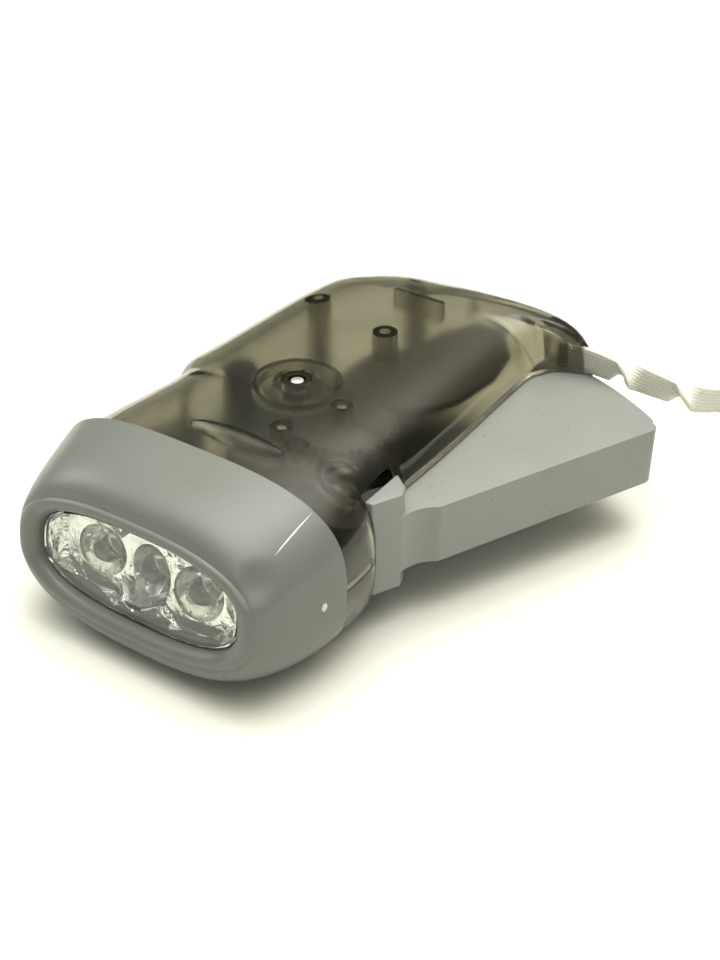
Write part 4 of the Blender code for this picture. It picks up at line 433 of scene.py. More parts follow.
class TorchFinishes(PropertyGroup):
    """Colours and gloss of the shown pieces."""
    abs_light: hue("Moulded grey", "Lit colour of the grey lever", "#8E908D")
    abs_dark: hue("Moulded grey shade", "Darker flow marks of the lever", "#858784")
    # The head's two greys are the lever's grey painted darker, as shade.
    head_light: hue("Head grey", "Lit colour of the grey head, from a darker batch", "#747773")
    head_dark: hue("Head grey shade", "Darker flow marks of the head", "#6C6F6B")
    smoke: hue("Smoke tint", "Surface tint of the see-through shell", "#CECBBD")
    smoke_depth: hue("Smoke depth", "Colour that deep smoke plastic lets through", "#85806C")
    strap: hue("Strap", "Colour of the woven tape", "#F4F3EA")
    strap_shade: hue("Strap shade", "Colour between the tape's yarns", "#D6D4CA")
    phosphor: hue("Phosphor", "Colour of the lamps' phosphor", "#D9CC7E")
    copper: hue("Copper", "Colour of the enamelled wire", "#A4562A")
    solder_mask: hue("Solder mask", "Colour of the circuit boards", "#2F6A44")
    paper: hue("Paper", "Colour of the floor", "#E6E6E0")
    abs_roughness: amount("Moulded roughness", "Roughness of the grey mouldings", 0.29)
    smoke_roughness: amount("Smoke roughness", "Roughness of the polished outside", 0.04)
    smoke_density: amount("Smoke density", "Darkening for each metre of smoke plastic", 120.0)
    overhead: amount("Overhead", "Brightness of the soft dome straight above", 8.25)
    overhead_focus: amount("Overhead focus", "How fast the dome darkens towards the walls", 8.0)
    walls: amount("Walls", "Brightness of the studio walls", 0.09)
    overhead_tint: hue("Overhead tint", "Colour of the dome", "#FFFFFC")
    walls_tint: hue("Walls tint", "Colour of the walls, which tints the shadows", "#FFFDE4")
    side_power: amount("Side light", "Power of the small softbox at the left, in watts", 2.0)
    front_power: amount("Front light", "Power of the small softbox in front, in watts", 1.2)


def add_node(tree, kind, inputs=None, **settings):
    """Adds one node, sets its properties, and fills or joins each input that is named."""
    node = tree.nodes.new(kind)
    for name, value in settings.items():
        setattr(node, name, value)
    for name, value in (inputs or {}).items():
        socket = node.inputs[name]
        if isinstance(value, bpy.types.NodeSocket):
            tree.links.new(value, socket)
        else:
            socket.default_value = value
    return node


def new_finish():
    """An empty finish with its shader and the point on the piece in millimetres."""
    material = bpy.data.materials.new("finish")
    material.use_nodes = True
    tree = material.node_tree
    place = add_node(tree, "ShaderNodeTexCoord").outputs["Object"]
    point = add_node(tree, "ShaderNodeVectorMath", {0: place, 1: (1000, 1000, 1000)}, operation="MULTIPLY")
    return material, tree.nodes["Principled BSDF"], point.outputs[0]


def set_shader(shader, **values):
    for name, value in values.items():
        shader.inputs[name.replace("_", " ")].default_value = value


def shade_between(shader, factor, first, second):
    """Colour of the surface, between two tones by a pattern; a tone is a colour or its hex code."""
    first, second = (to_linear(tone) if isinstance(tone, str) else tone for tone in (first, second))
    mix = add_node(shader.id_data, "ShaderNodeMix", {0: factor, 6: first, 7: second}, data_type="RGBA")
    shader.id_data.links.new(mix.outputs[2], shader.inputs["Base Color"])


def gloss_between(shader, factor, low, high):
    """Roughness of the surface, between two values by a pattern."""
    inputs = {"Value": factor, "To Min": low, "To Max": high}
    spread = add_node(shader.id_data, "ShaderNodeMapRange", inputs)
    shader.id_data.links.new(spread.outputs["Result"], shader.inputs["Roughness"])


def raise_grain(shader, height, depth, strength=1.0):
    """Relief of the surface; depth is in metres."""
    inputs = {"Height": height, "Distance": depth, "Strength": strength}
    bump = add_node(shader.id_data, "ShaderNodeBump", inputs)
    shader.id_data.links.new(bump.outputs["Normal"], shader.inputs["Normal"])


def noise(point, scale, detail=3.0, roughness=0.5):
    """Cloudy pattern with so many features to a millimetre."""
    inputs = {"Vector": point, "Scale": scale, "Detail": detail, "Roughness": roughness}
    return add_node(point.id_data, "ShaderNodeTexNoise", inputs).outputs["Fac"]


def turned_rings(point, centre, scale):
    """Tool rings round an upright axis, so many to a millimetre."""
    shift = (-centre[0] * 1000, -(centre[1] - ORIGIN_Y) * 1000, 0)
    moved = add_node(point.id_data, "ShaderNodeVectorMath", {0: point, 1: shift}, operation="ADD")
    inputs = {"Vector": moved.outputs[0], "Scale": scale, "Distortion": 0.6, "Detail": 2.0}
    wave = add_node(point.id_data, "ShaderNodeTexWave", inputs, wave_type="RINGS", rings_direction="Z")
    return wave.outputs["Fac"]


def brighter(colour, factor):
    """A colour times a factor, no brighter than white."""
    return [min(level * factor, 1.0) for level in colour]


def satin_moulded_abs():
    """Lever and slider: injection moulded grey with faint flow clouds and a spark-eroded grain."""
    looks = bpy.context.scene.torch_finishes
    return grained_abs(looks.abs_dark, looks.abs_light)


def shade_darkened_head_abs():
    """Head: the lever's grey painted darker as shade, with the same soft grain."""
    looks = bpy.context.scene.torch_finishes
    return grained_abs(looks.head_dark, looks.head_light)


def grained_abs(dark, light):
    """Satin plastic whose fine grain softens the highlights."""
    gloss = bpy.context.scene.torch_finishes.abs_roughness
    material, shader, point = new_finish()
    shade_between(shader, noise(point, 0.11, 4.0), dark, light)
    gloss_between(shader, noise(point, 0.9), gloss - 0.05, gloss + 0.06)
    raise_grain(shader, noise(point, 1.2, 1.0), 0.000003, 0.4)
    set_shader(shader, IOR=1.53, Specular_IOR_Level=0.35)
    return material


def smoke_polycarbonate():
    """Tinted see-through shell: polished outside, softer inside, darker where the plastic is deep."""
    looks = bpy.context.scene.torch_finishes
    material, shader, point = new_finish()
    tree = material.node_tree
    shade_between(shader, noise(point, 0.16), looks.smoke, brighter(looks.smoke, 1.06))
    inside = add_node(tree, "ShaderNodeAttribute", attribute_name="moulded_inside").outputs["Fac"]
    gloss_between(shader, inside, looks.smoke_roughness, looks.smoke_roughness + 0.22)
    raise_grain(shader, noise(point, 0.35, 2.0), 0.00004, 0.25)
    set_shader(shader, IOR=1.42, Transmission_Weight=1.0)
    inputs = {"Color": looks.smoke_depth, "Density": looks.smoke_density}
    depth = add_node(tree, "ShaderNodeVolumeAbsorption", inputs)
    tree.links.new(depth.outputs[0], tree.nodes["Material Output"].inputs["Volume"])
    return material


def clouded_finish(low, high, gloss, pattern, grain=None, **shader_values):
    """One cloudy pattern leads tone, gloss and, with a grain's depth and strength, the relief."""
    material, shader, point = new_finish()
    clouds = noise(point, *pattern)
    shade_between(shader, clouds, low, high)
    gloss_between(shader, clouds, *gloss)
    if grain:
        raise_grain(shader, clouds, *grain)
    set_shader(shader, **shader_values)
    return material


def polished_clear_polycarbonate():
    """Clear window: nearly invisible, with fine wipe marks in its reflections."""
    return clouded_finish("#F4F7F4", "#FCFEFC", (0.0, 0.05), (1.3, 5.0), IOR=1.5, Transmission_Weight=1.0)


def cast_clear_epoxy():
    """Lamp body: water-clear cast resin that bends what lies behind it."""
    return clouded_finish("#EEF2EE", "#FAFCFA", (0.0, 0.06), (0.8,), IOR=1.5, Transmission_Weight=0.94)


def vacuum_metallised_reflector():
    """Mirror film on moulded facets: bright, slightly rippled, with dark lines where it turns away."""
    return clouded_finish(
        "#C9CAC5", "#F2F3F0", (0.02, 0.08), (0.55, 3.0, 0.6), grain=(0.0006, 0.5), Metallic=1.0,
    )


def satin_metallised_bowl():
    """The same mirror film on the lamp's smooth bowl, softened by a fine tooling texture."""
    return clouded_finish(
        "#E6E7E3", "#FAFAF6", (0.10, 0.22), (0.9, 2.0), grain=(0.0003, 0.5), Metallic=1.0,
    )


def phosphor_die():
    """The lamp's chip under its pale yellow phosphor grains."""
    return clouded_finish(bpy.context.scene.torch_finishes.phosphor, "#F2ECC0", (0.5, 0.8), (12.0,))


def metal_finish(low, high, gloss, scale, depth, centre=None):
    """A metal: mottled or turned in rings, with uneven gloss."""
    material, shader, point = new_finish()
    pattern = turned_rings(point, centre, scale) if centre else noise(point, scale)
    shade_between(shader, pattern, low, high)
    gloss_between(shader, noise(point, 0.8, 4.0), *gloss)
    raise_grain(shader, pattern, depth, 0.5)
    set_shader(shader, Metallic=1.0)
    return material


def turned_steel():
    """Shafts and pins: bright steel, with fine tool lines round them that draw the light out."""
    return metal_finish("#A9ABAD", "#C9CBCD", (0.2, 0.34), 3.0, 0.000006)


def drawn_spring_wire():
    """Lever spring: drawn wire, darkened by its heat treatment."""
    return metal_finish("#6E6C68", "#8C8A86", (0.24, 0.4), 2.5, 0.000005)


def zinc_plated_steel():
    """Screws: thin zinc plating with a cloudy bluish white skin."""
    return metal_finish("#A6AAAE", "#C4C8CA", (0.26, 0.42), 1.8, 0.000006)


def die_cast_zinc():
    """Flywheel: dull grey casting with a turned face."""
    return metal_finish("#3E4143", "#565A5C", (0.34, 0.5), 1.6, 0.00001, ROTOR_PLACE)


def pressed_iron():
    """Claw plates: rolled sheet with a smudged grey skin."""
    return metal_finish("#4A4B4C", "#66686A", (0.3, 0.5), 0.7, 0.000008)


def nickel_plated_steel():
    """Cell can: bright plating with faint rubbing marks."""
    return metal_finish("#BFC0BA", "#D6D6D0", (0.18, 0.32), 1.4, 0.000004)


def oiled_bronze():
    """Bearing bushes: porous bronze darkened by oil."""
    return metal_finish("#231D14", "#3A3020", (0.42, 0.58), 4.0, 0.000012)


def tinned_lead():
    """Lamp leads and solder joints: soft grey tin with a rolled sheen."""
    return metal_finish("#B4B6B6", "#D4D6D6", (0.16, 0.34), 2.2, 0.000006)


def enamelled_copper():
    """Coil wire: copper under a clear orange enamel."""
    copper = bpy.context.scene.torch_finishes.copper
    coat = {"Coat_Weight": 0.6, "Coat_Roughness": 0.12}
    return clouded_finish(copper, brighter(copper, 1.3), (0.22, 0.38), (2.0,), Metallic=1.0, **coat)


def moulded_finish(low, high, gloss, grain, depth):
    """A plain plastic or fired piece: two close tones, uneven gloss and a raised grain."""
    material, shader, point = new_finish()
    shade_between(shader, noise(point, 0.4, 4.0), low, high)
    gloss_between(shader, noise(point, 1.2), *gloss)
    raise_grain(shader, noise(point, grain, 2.0), depth, 0.6)
    return material


def black_acetal():
    """Gears, plates, bobbin, switch and chip: near black, with a waxy sheen; also the black painted shade on
    the lever's hub and the black ring painted as shadow in the head's seam.
    """
    return moulded_finish("#1C1D1E", "#28292A", (0.36, 0.5), 5.0, 0.00001)


def sintered_ferrite():
    """Ring magnet: matt charcoal ceramic with open grain."""
    return moulded_finish("#2A2A2C", "#3A3A3C", (0.62, 0.8), 7.0, 0.00003)


def shrink_sleeve():
    """Capacitor sleeve: dark blue film, glossy and a little wavy."""
    return moulded_finish("#1D2333", "#2A3146", (0.2, 0.32), 1.0, 0.00003)


def solder_mask_laminate():
    """Circuit board: green lacquer over woven glass, whose weave just shows."""
    green = bpy.context.scene.torch_finishes.solder_mask
    material, shader, point = new_finish()
    weave = add_node(point.id_data, "ShaderNodeTexChecker", {"Vector": point, "Scale": 2.4}).outputs["Fac"]
    shade_between(shader, weave, green, [level * 0.86 for level in green])
    gloss_between(shader, noise(point, 1.5), 0.24, 0.4)
    raise_grain(shader, weave, 0.000008, 0.5)
    return material


def pale_highlight_abs():
    """Raised mould marks on the head: grey plastic painted pale, as a highlight along the ridge and on the
    gate's stub.
    """
    return moulded_finish("#C6C9C4", "#DCDEDA", (0.22, 0.32), 4.0, 0.000006)


def tape_waves(tree, lay, scale, distortion, direction):
    """Bands across or along the tape, so many to a millimetre."""
    inputs = {"Vector": lay, "Scale": scale, "Distortion": distortion, "Detail": 1.0}
    return add_node(
        tree, "ShaderNodeTexWave", inputs, wave_type="BANDS", bands_direction=direction,
    ).outputs["Fac"]


def woven_nylon_tape():
    """Wrist strap: flat woven tape; ribs across it and yarns along it catch the light."""
    looks = bpy.context.scene.torch_finishes
    material, shader, point = new_finish()
    tree = material.node_tree
    lay = add_node(tree, "ShaderNodeUVMap", uv_map="tape").outputs["UV"]
    ribs = tape_waves(tree, lay, 0.62, 0.25, "X")
    yarns = tape_waves(tree, lay, 0.5, 0.2, "Y")
    weave = add_node(tree, "ShaderNodeMath", {0: ribs, 1: yarns}, operation="MULTIPLY").outputs[0]
    shade_between(shader, weave, looks.strap_shade, looks.strap)
    gloss_between(shader, weave, 0.62, 0.46)
    raise_grain(shader, weave, 0.00016, 0.8)
    set_shader(shader, Sheen_Weight=0.25, Sheen_Roughness=0.4)
    return material


def sewing_thread():
    """Stitches: twisted thread a shade lighter than the tape."""
    return moulded_finish("#B4B09E", "#C6C2B0", (0.5, 0.66), 8.0, 0.00003)


def power_curve(share, power):
    return (1 - (1 - share) ** power) ** (1 / power)


def oval_ring(half_width, half_height, count, power):
    ring = []
    for index in range(count):
        angle = 2 * pi * (index + 0.5) / count
        x = abs(cos(angle)) ** (2 / power)
        z = abs(sin(angle)) ** (2 / power)
        ring.append((
            half_width * (x if cos(angle) > 0 else -x),
            half_height * (z if sin(angle) > 0 else -z),
        ))
    return ring


def tilted(x, y, z, share=1.0):
    angle = bpy.context.scene.torch_head.tilt * share
    return Vector((x, y * cos(angle) + z * sin(angle), MIDPLANE - y * sin(angle) + z * cos(angle)))


def bridge_rings(bm, rings, closed_ends):
    """Joins rings of points into a skin; without closed ends the first and last ring are capped."""
    loops = [[bm.verts.new(point) for point in ring] for ring in rings]
    pairs = list(zip(loops, loops[1:]))
    if closed_ends:
        pairs.append((loops[-1], loops[0]))
    for first, second in pairs:
        for index in range(len(first)):
            after = (index + 1) % len(first)
            bm.faces.new((first[index], first[after], second[after], second[index]))
    if not closed_ends:
        bm.faces.new(loops[0])
        bm.faces.new(loops[-1])


def circle_points(centre, radius, count):
    return arc_points(centre, radius, 0, 2 * pi * (count - 1) / count, count - 1)


def arc_points(centre, radius, start, end, count):
    points = []
    for index in range(count + 1):
        angle = start + (end - start) * index / count
        points.append((centre[0] + radius * cos(angle), centre[1] + radius * sin(angle)))
    return points


def box_points(centre, across, along):
    x, y = centre
    return [
        (x - across / 2, y - along / 2), (x + across / 2, y - along / 2),
        (x + across / 2, y + along / 2), (x - across / 2, y + along / 2),
    ]


def add_prism(bm, points, low, high):
    base = [bm.verts.new((x, y, low)) for x, y in points]
    face = bm.faces.new(base)
    grown = bmesh.ops.extrude_face_region(bm, geom=[face])
    lifted = [item for item in grown["geom"] if isinstance(item, bmesh.types.BMVert)]
    bmesh.ops.translate(bm, verts=lifted, vec=(0, 0, high - low))


def add_column(bm, centre, radius, low, high, count=48):
    add_prism(bm, circle_points(centre, radius, count), low, high)


def add_turned(bm, profile, centre, count, closed):
    """Turns a profile of radius and height round an upright axis."""
    verts = [bm.verts.new((centre[0] + radius, centre[1], height)) for radius, height in profile]
    edges = [bm.edges.new(pair) for pair in zip(verts, verts[1:])]
    if closed:
        edges.append(bm.edges.new((verts[-1], verts[0])))
    bmesh.ops.spin(
        bm, geom=verts + edges, cent=(centre[0], centre[1], 0), axis=(0, 0, 1),
        angle=2 * pi, steps=count, use_duplicate=False,
    )
    bmesh.ops.remove_doubles(bm, verts=bm.verts, dist=WELD)


def add_tilted_turned(bm, profile, centre_x, count, closed=False):
    """Turns a profile of radius and depth round a lamp's tilted axis."""
    start = len(bm.verts)
    add_turned(bm, profile, (0, 0), count, closed)
    bm.verts.ensure_lookup_table()
    for vert in bm.verts[start:]:
        x, z, depth = vert.co
        vert.co = tilted(x + centre_x, depth, z)


def put_in_scene(name, mesh, finishes, sharp_angle):
    for polygon in mesh.polygons:
        polygon.use_smooth = sharp_angle > 0
    if sharp_angle > 0:
        mesh.set_sharp_from_angle(angle=sharp_angle)
    for finish in finishes:
        mesh.materials.append(finish)
    piece = bpy.data.objects.new(name, mesh)
    bpy.context.scene.collection.objects.link(piece)
    return piece


def finished(name, bm, finishes=(), sharp_angle=0.6):
    """Moves a mesh built behind the lens opening into the frame and makes it an object at the origin."""
    bmesh.ops.remove_doubles(bm, verts=bm.verts, dist=WELD)
    bmesh.ops.recalc_face_normals(bm, faces=bm.faces)
    bmesh.ops.translate(bm, verts=bm.verts, vec=(0, -ORIGIN_Y, 0))
    mesh = bpy.data.meshes.new(name)
    bm.to_mesh(mesh)
    bm.free()
    return put_in_scene(name, mesh, finishes, sharp_angle)


def prism(name, points, low, high):
    bm = bmesh.new()
    add_prism(bm, points, low, high)
    return finished(name, bm)


def settle(piece, sharp_angle=0.6):
    """Turns a piece's modifiers into its mesh and clears them."""
    bpy.context.view_layer.update()
    shaped = piece.evaluated_get(bpy.context.evaluated_depsgraph_get())
    mesh = bpy.data.meshes.new_from_object(shaped)
    piece.modifiers.clear()
    piece.data = mesh
    for polygon in mesh.polygons:
        polygon.use_smooth = True
    mesh.set_sharp_from_angle(angle=sharp_angle)
    return piece


def shape_with(piece, tools, sharp_angle=0.6):
    """Joins or cuts a piece with each tool in turn, then removes the tools."""
    for tool, operation in tools:
        modifier = piece.modifiers.new(tool.name, "BOOLEAN")
        modifier.operation = operation
        modifier.solver = "EXACT"
        modifier.material_mode = "TRANSFER" if tool.data.materials else "INDEX"
        modifier.object = tool
    settle(piece, sharp_angle)
    for tool, operation in tools:
        bpy.data.objects.remove(tool, do_unlink=True)
    return piece


def round_edges(piece, radius, count=3, angle=0.7):
    bevel = piece.modifiers.new("rounding", "BEVEL")
    bevel.width = radius
    bevel.segments = count
    bevel.limit_method = "ANGLE"
    bevel.angle_limit = angle
    bevel.harden_normals = False
    return settle(piece)


def white_paper():
    """Floor: matt paper with a faint fibre."""
    paper = bpy.context.scene.torch_finishes.paper
    material, shader, point = new_finish()
    shade_between(shader, noise(point, 0.5), paper, brighter(paper, 0.99))
    set_shader(shader, Roughness=0.9, Specular_IOR_Level=0.1)
    return material


def shares(count):
    """Even steps from 0 to 1."""
    return [index / count for index in range(count + 1)]


def show(piece, slot, *nodes, body="housing"):
    """Puts a finished piece on its body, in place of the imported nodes."""
    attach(piece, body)
    if nodes:
        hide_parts(*nodes)
    return piece


def shared(maker):
    """The finish that a maker gives, named for it, made once and used again."""
    name = maker.__name__
    if name not in bpy.data.materials:
        maker().name = name
    return bpy.data.materials[name]


def refined_copy(node_name, piece_name, finish, edge=MOULDED_EDGE):
    """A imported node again, welded, smoothed and with its edges broken."""
    bm = bmesh.new()
    bm.from_mesh(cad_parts[node_name].data)
    bmesh.ops.remove_doubles(bm, verts=bm.verts, dist=WELD / 4)
    bmesh.ops.dissolve_limit(bm, angle_limit=0.01, verts=bm.verts, edges=bm.edges)
    mesh = bpy.data.meshes.new(piece_name)
    bm.to_mesh(mesh)
    bm.free()
    piece = put_in_scene(piece_name, mesh, [finish], 0.6)
    if edge > 0:
        round_edges(piece, edge, 2, 0.9)
    return piece


def curve_between(before, start, end, after, share):
    """A point on the smooth curve through four marks, between the middle two."""
    square = share * share
    cube = square * share
    return (
        start * 2
        + (end - before) * share
        + (before * 2 - start * 5 + end * 4 - after) * square
        + (start * 3 - before - end * 3 + after) * cube
    ) / 2


def head_ring(half_width, half_height, y, share, power):
    ring = []
    for x, z in oval_ring(half_width, half_height, bpy.context.scene.torch_head.ring_steps, power):
        point = tilted(x, y, z, share)
        point.z = max(point.z, 0.0)
        ring.append(point)
    return ring


def head_rings():
    """Rings of the head from the seam over the lip, through the sleeve and back along the inside."""
    head = bpy.context.scene.torch_head
    depth = SEAM_Y - head.lip_y
    outside = []
    for share in HEAD_SHARES:
        widening = power_curve(share, HEAD_WIDTH_POWER)
        rise = power_curve(share, HEAD_HEIGHT_POWER)
        half_width = head.lip_half_width + (head.half_width - head.lip_half_width) * widening
        half_height = head.lip_half_height + (head.half_height - head.lip_half_height) * rise
        power = HEAD_FRONT_POWER + (SECTION_POWER - HEAD_FRONT_POWER) * share
        outside.append((half_width, half_height, head.lip_y + depth * share, 1 - share, power))
    rings = [head_ring(*ring) for ring in reversed(outside)]
    for across, back in LIP_ROLL_SHARES:
        half_width = head.lip_half_width + (head.lens_half_width - head.lip_half_width) * across
        half_height = head.lip_half_height + (head.lens_half_height - head.lip_half_height) * across
        power = HEAD_FRONT_POWER + (LENS_POWER - HEAD_FRONT_POWER) * across
        rings.append(head_ring(half_width, half_height, head.lip_y + head.lip_depth * back, 1, power))
    sleeve_width = head.lens_half_width + head.sleeve_wall
    sleeve_height = head.lens_half_height + head.sleeve_wall
    rings.append(head_ring(head.lens_half_width, head.lens_half_height, head.sleeve_end, 1, LENS_POWER))
    rings.append(head_ring(sleeve_width, sleeve_height, head.sleeve_end, 1, LENS_POWER))
    rings.append(head_ring(sleeve_width, sleeve_height, head.sleeve_start, 1, LENS_POWER))
    for half_width, half_height, y, share, power in outside:
        if y > head.sleeve_start:
            rings.append(head_ring(half_width - head.wall, half_height - head.wall, y, share, power))
    return rings


def press_in(bm, centre, radius, depth):
    """A soft round sink mark: points near the centre move inwards along their normals."""
    bm.normal_update()
    for vert in bm.verts:
        reach = (vert.co - centre).length / radius
        if reach < 1:
            vert.co -= vert.normal * depth * (1 - reach * reach) ** 2


def parting_ridge(head, finish):
    """A fine raised line where two mould inserts met, tapered at both ends and laid on the head."""
    radius = bpy.context.scene.torch_head.ridge_radius
    points = [vert.co for vert in head.data.vertices]
    surface = BVHTree.FromPolygons(points, [face.vertices for face in head.data.polygons])
    (start_x, start_y), (end_x, end_y) = RIDGE_RUN
    rings = []
    for share in shares(RIDGE_STEPS):
        x = start_x + (end_x - start_x) * share
        y = start_y + (end_y - start_y) * share - ORIGIN_Y
        centre, normal, face, distance = surface.ray_cast(Vector((x, y, 1.0)), Vector((0, 0, -1)))
        across = normal.cross(Vector((0, 1, 0))).normalized()
        size = radius * max(sin(pi * share), 0.05) ** 0.7
        ring = []
        for corner in range(RIDGE_SIDES):
            angle = 2 * pi * corner / RIDGE_SIDES
            place = centre + across * size * 1.3 * cos(angle) + normal * size * sin(angle)
            ring.append(place + Vector((0, ORIGIN_Y, 0)))
        rings.append(ring)
    bm = bmesh.new()
    bridge_rings(bm, rings, False)
    return finished("parting_ridge", bm, [finish], 1.2)


def seam_line():
    """A black ring in the joint between the head and the shells, painted shadow of the gap."""
    head = bpy.context.scene.torch_head
    rings = []
    for inset, back in SEAM_SHADOW_SECTION:
        half_width = head.half_width - inset
        half_height = head.half_height - inset
        rings.append(head_ring(half_width, half_height, SEAM_Y + back, 0, SECTION_POWER))
    bm = bmesh.new()
    bridge_rings(bm, rings, True)
    return finished("seam_line", bm, [shared(black_acetal)])


def gate_mark(finish):
    """The flat round stub where the plastic entered the mould."""
    bm = bmesh.new()
    bmesh.ops.create_uvsphere(bm, u_segments=20, v_segments=12, radius=GATE_MARK_RADIUS)
    bmesh.ops.scale(bm, verts=bm.verts, vec=GATE_MARK_SHARES)
    bmesh.ops.translate(bm, verts=bm.verts, vec=GATE_MARK_PLACE)
    return finished("gate_mark", bm, [finish])


class TORCH_OT_head(Operator):
    """Builds the grey lamp head with its rolled lip, sink mark, gate mark, parting ridge and a black ring as
    painted shadow in the seam
    """
    bl_idname = "torch.head"
    bl_label = "Head"

    def execute(self, context):
        # The pale grey on the gate's stub and the parting ridge is painted highlight.
        pale = shared(pale_highlight_abs)
        bm = bmesh.new()
        bridge_rings(bm, head_rings(), True)
        bmesh.ops.recalc_face_normals(bm, faces=bm.faces)
        press_in(bm, SINK_MARK_PLACE, SINK_MARK_RADIUS, context.scene.torch_head.dimple_depth)
        head = finished("lamp_head", bm, [shared(shade_darkened_head_abs)])
        show(head, "grey_abs", "head_moulding")
        show(gate_mark(pale), "grey_abs")
        show(parting_ridge(head, pale), "grey_abs")
        show(seam_line(), "black_acetal")
        return {"FINISHED"}


def tilted_plate(bm, half_width, half_height, front, depth, edge, count):
    """An oval plate on the lens plane with its front edge broken."""
    rings = []
    for y, inset in ((front, edge), (front + edge, 0.0), (front + depth, 0.0)):
        outline = oval_ring(half_width - inset, half_height - inset, count, LENS_POWER)
        rings.append([tilted(x, y, z) for x, z in outline])
    bridge_rings(bm, rings, False)


class TORCH_OT_window(Operator):
    """Builds the clear window"""
    bl_idname = "torch.window"
    bl_label = "Window"

    def execute(self, context):
        head = context.scene.torch_head
        bm = bmesh.new()
        width = head.lens_half_width - GAP
        height = head.lens_half_height - GAP
        tilted_plate(bm, width, height, head.lens_inset, head.lens_thickness, GAP, head.ring_steps)
        window = finished("clear_window", bm, [shared(polished_clear_polycarbonate)])
        show(window, "clear_window", "lens_window")
        return {"FINISHED"}


def cup_ring(centre_x, radius, depth, turn):
    """A ring of facet corners round a lamp's axis, uneven like crinkled foil."""
    ring = []
    for index in range(CUP_FACETS):
        angle = 2 * pi * (index + turn) / CUP_FACETS
        bow = radius * (1 + FACET_BOW * (index % 2))
        stray = FACET_CRINKLE * sin(12.9 * index + 7.3 * turn + 3100 * depth + 900 * centre_x)
        ring.append(tilted(centre_x + bow * cos(angle), depth + stray, bow * sin(angle)))
    return ring


def cup_cutter(centre_x, front):
    """The flared mouth of a cup: flat facets that step round and down like a cut gem."""
    head = bpy.context.scene.torch_head
    rings = [cup_ring(centre_x, head.cup_radius, front - OVERRUN, 0)]
    for row in range(CUP_ROWS + 1):
        share = row / CUP_ROWS
        radius = head.bowl_radius + (head.cup_radius - head.bowl_radius) * sqrt(1 - share)
        rings.append(cup_ring(centre_x, radius, front + head.bowl_start * share, 0.5 * (row % 2)))
    bm = bmesh.new()
    bridge_rings(bm, rings, False)
    bmesh.ops.triangulate(bm, faces=[face for face in bm.faces if len(face.verts) == 4])
    return finished("cup_cutter", bm)


def bowl_cutter(centre_x, front):
    """The smooth parabolic bowl round a lamp, with the hole that the lamp passes."""
    head = bpy.context.scene.torch_head
    start = front + head.bowl_start
    end = front + head.cup_depth
    past = front + head.reflector_depth + OVERRUN
    profile = [(0.0, start - OVERRUN), (head.bowl_radius, start - OVERRUN)]
    for row in range(BOWL_ROWS + 1):
        radius = head.bowl_radius + (head.cup_neck - head.bowl_radius) * row / BOWL_ROWS
        rise = (radius ** 2 - head.cup_neck ** 2) / (head.bowl_radius ** 2 - head.cup_neck ** 2)
        profile.append((radius, end - (end - start) * rise))
    profile += [(head.cup_neck, past), (0.0, past)]
    bm = bmesh.new()
    add_tilted_turned(bm, profile, centre_x, 72)
    return finished("bowl_cutter", bm, [shared(satin_metallised_bowl)])


class TORCH_OT_reflector(Operator):
    """Builds the metallised reflector with a faceted flare and a smooth bowl for each lamp"""
    bl_idname = "torch.reflector"
    bl_label = "Reflector"

    def execute(self, context):
        head = context.scene.torch_head
        front = head.lens_inset + head.lens_thickness + GAP
        bm = bmesh.new()
        width = head.lens_half_width - GAP
        height = head.lens_half_height - GAP
        tilted_plate(bm, width, height, front, head.reflector_depth, GAP, 96)
        reflector = finished("reflector_cups", bm, [shared(vacuum_metallised_reflector)])
        tools = []
        for cutter in (cup_cutter, bowl_cutter):
            tools += [(cutter(place * head.lamp_pitch, front), "DIFFERENCE") for place in (-1, 0, 1)]
        shape_with(reflector, tools, 0.12)
        show(reflector, "bright_metallised", "reflector")
        return {"FINISHED"}


def lamp_body(centre_x):
    """A lamp's clear body: domed tip, straight side and the collar at its base."""
    head = bpy.context.scene.torch_head
    base = head.lamp_front + head.lamp_length
    radius = head.lamp_radius
    collar = radius + LAMP_COLLAR_WIDTH
    collar_y = base - LAMP_COLLAR_DEPTH
    profile = []
    for index in range(15):
        angle = pi / 2 * index / 14
        profile.append((radius * sin(angle), head.lamp_front + radius * (1 - cos(angle))))
    profile += [(radius, collar_y), (collar, collar_y), (collar, base), (0, base)]
    bm = bmesh.new()
    add_tilted_turned(bm, profile, centre_x, 48)
    return bm


def lamp_leads(centre_x):
    """The cup and anvil of the lead frame inside a lamp, and the bright disc that they stand on."""
    head = bpy.context.scene.torch_head
    cup_y = head.lamp_front + LAMP_CUP_DEPTH
    base = head.lamp_front + head.lamp_length - LAMP_BASE_INSET
    bm = bmesh.new()
    add_tilted_turned(bm, [(radius, cup_y + back) for radius, back in LAMP_CUP_PROFILE], centre_x, 28)
    near, far = (base - before for before in LAMP_SHIELD_SPAN)
    shield = [(0.0, near), (LAMP_SHIELD_RADIUS, near), (LAMP_SHIELD_RADIUS, far), (0.0, far)]
    add_tilted_turned(bm, shield, centre_x, 28)
    for offset, start in LAMP_LEADS:
        rings = []
        for y in (cup_y + start, base):
            corners = box_points((offset, 0.0), *LAMP_LEAD_SECTION)
            rings.append([tilted(centre_x + x, y, z) for x, z in corners])
        bridge_rings(bm, rings, False)
    return bm


def lamp_die(centre_x):
    """The low cone of phosphor in a lamp's cup."""
    cup_y = bpy.context.scene.torch_head.lamp_front + LAMP_CUP_DEPTH
    bm = bmesh.new()
    add_tilted_turned(bm, [(radius, cup_y + back) for radius, back in LAMP_DIE_PROFILE], centre_x, 20)
    return bm


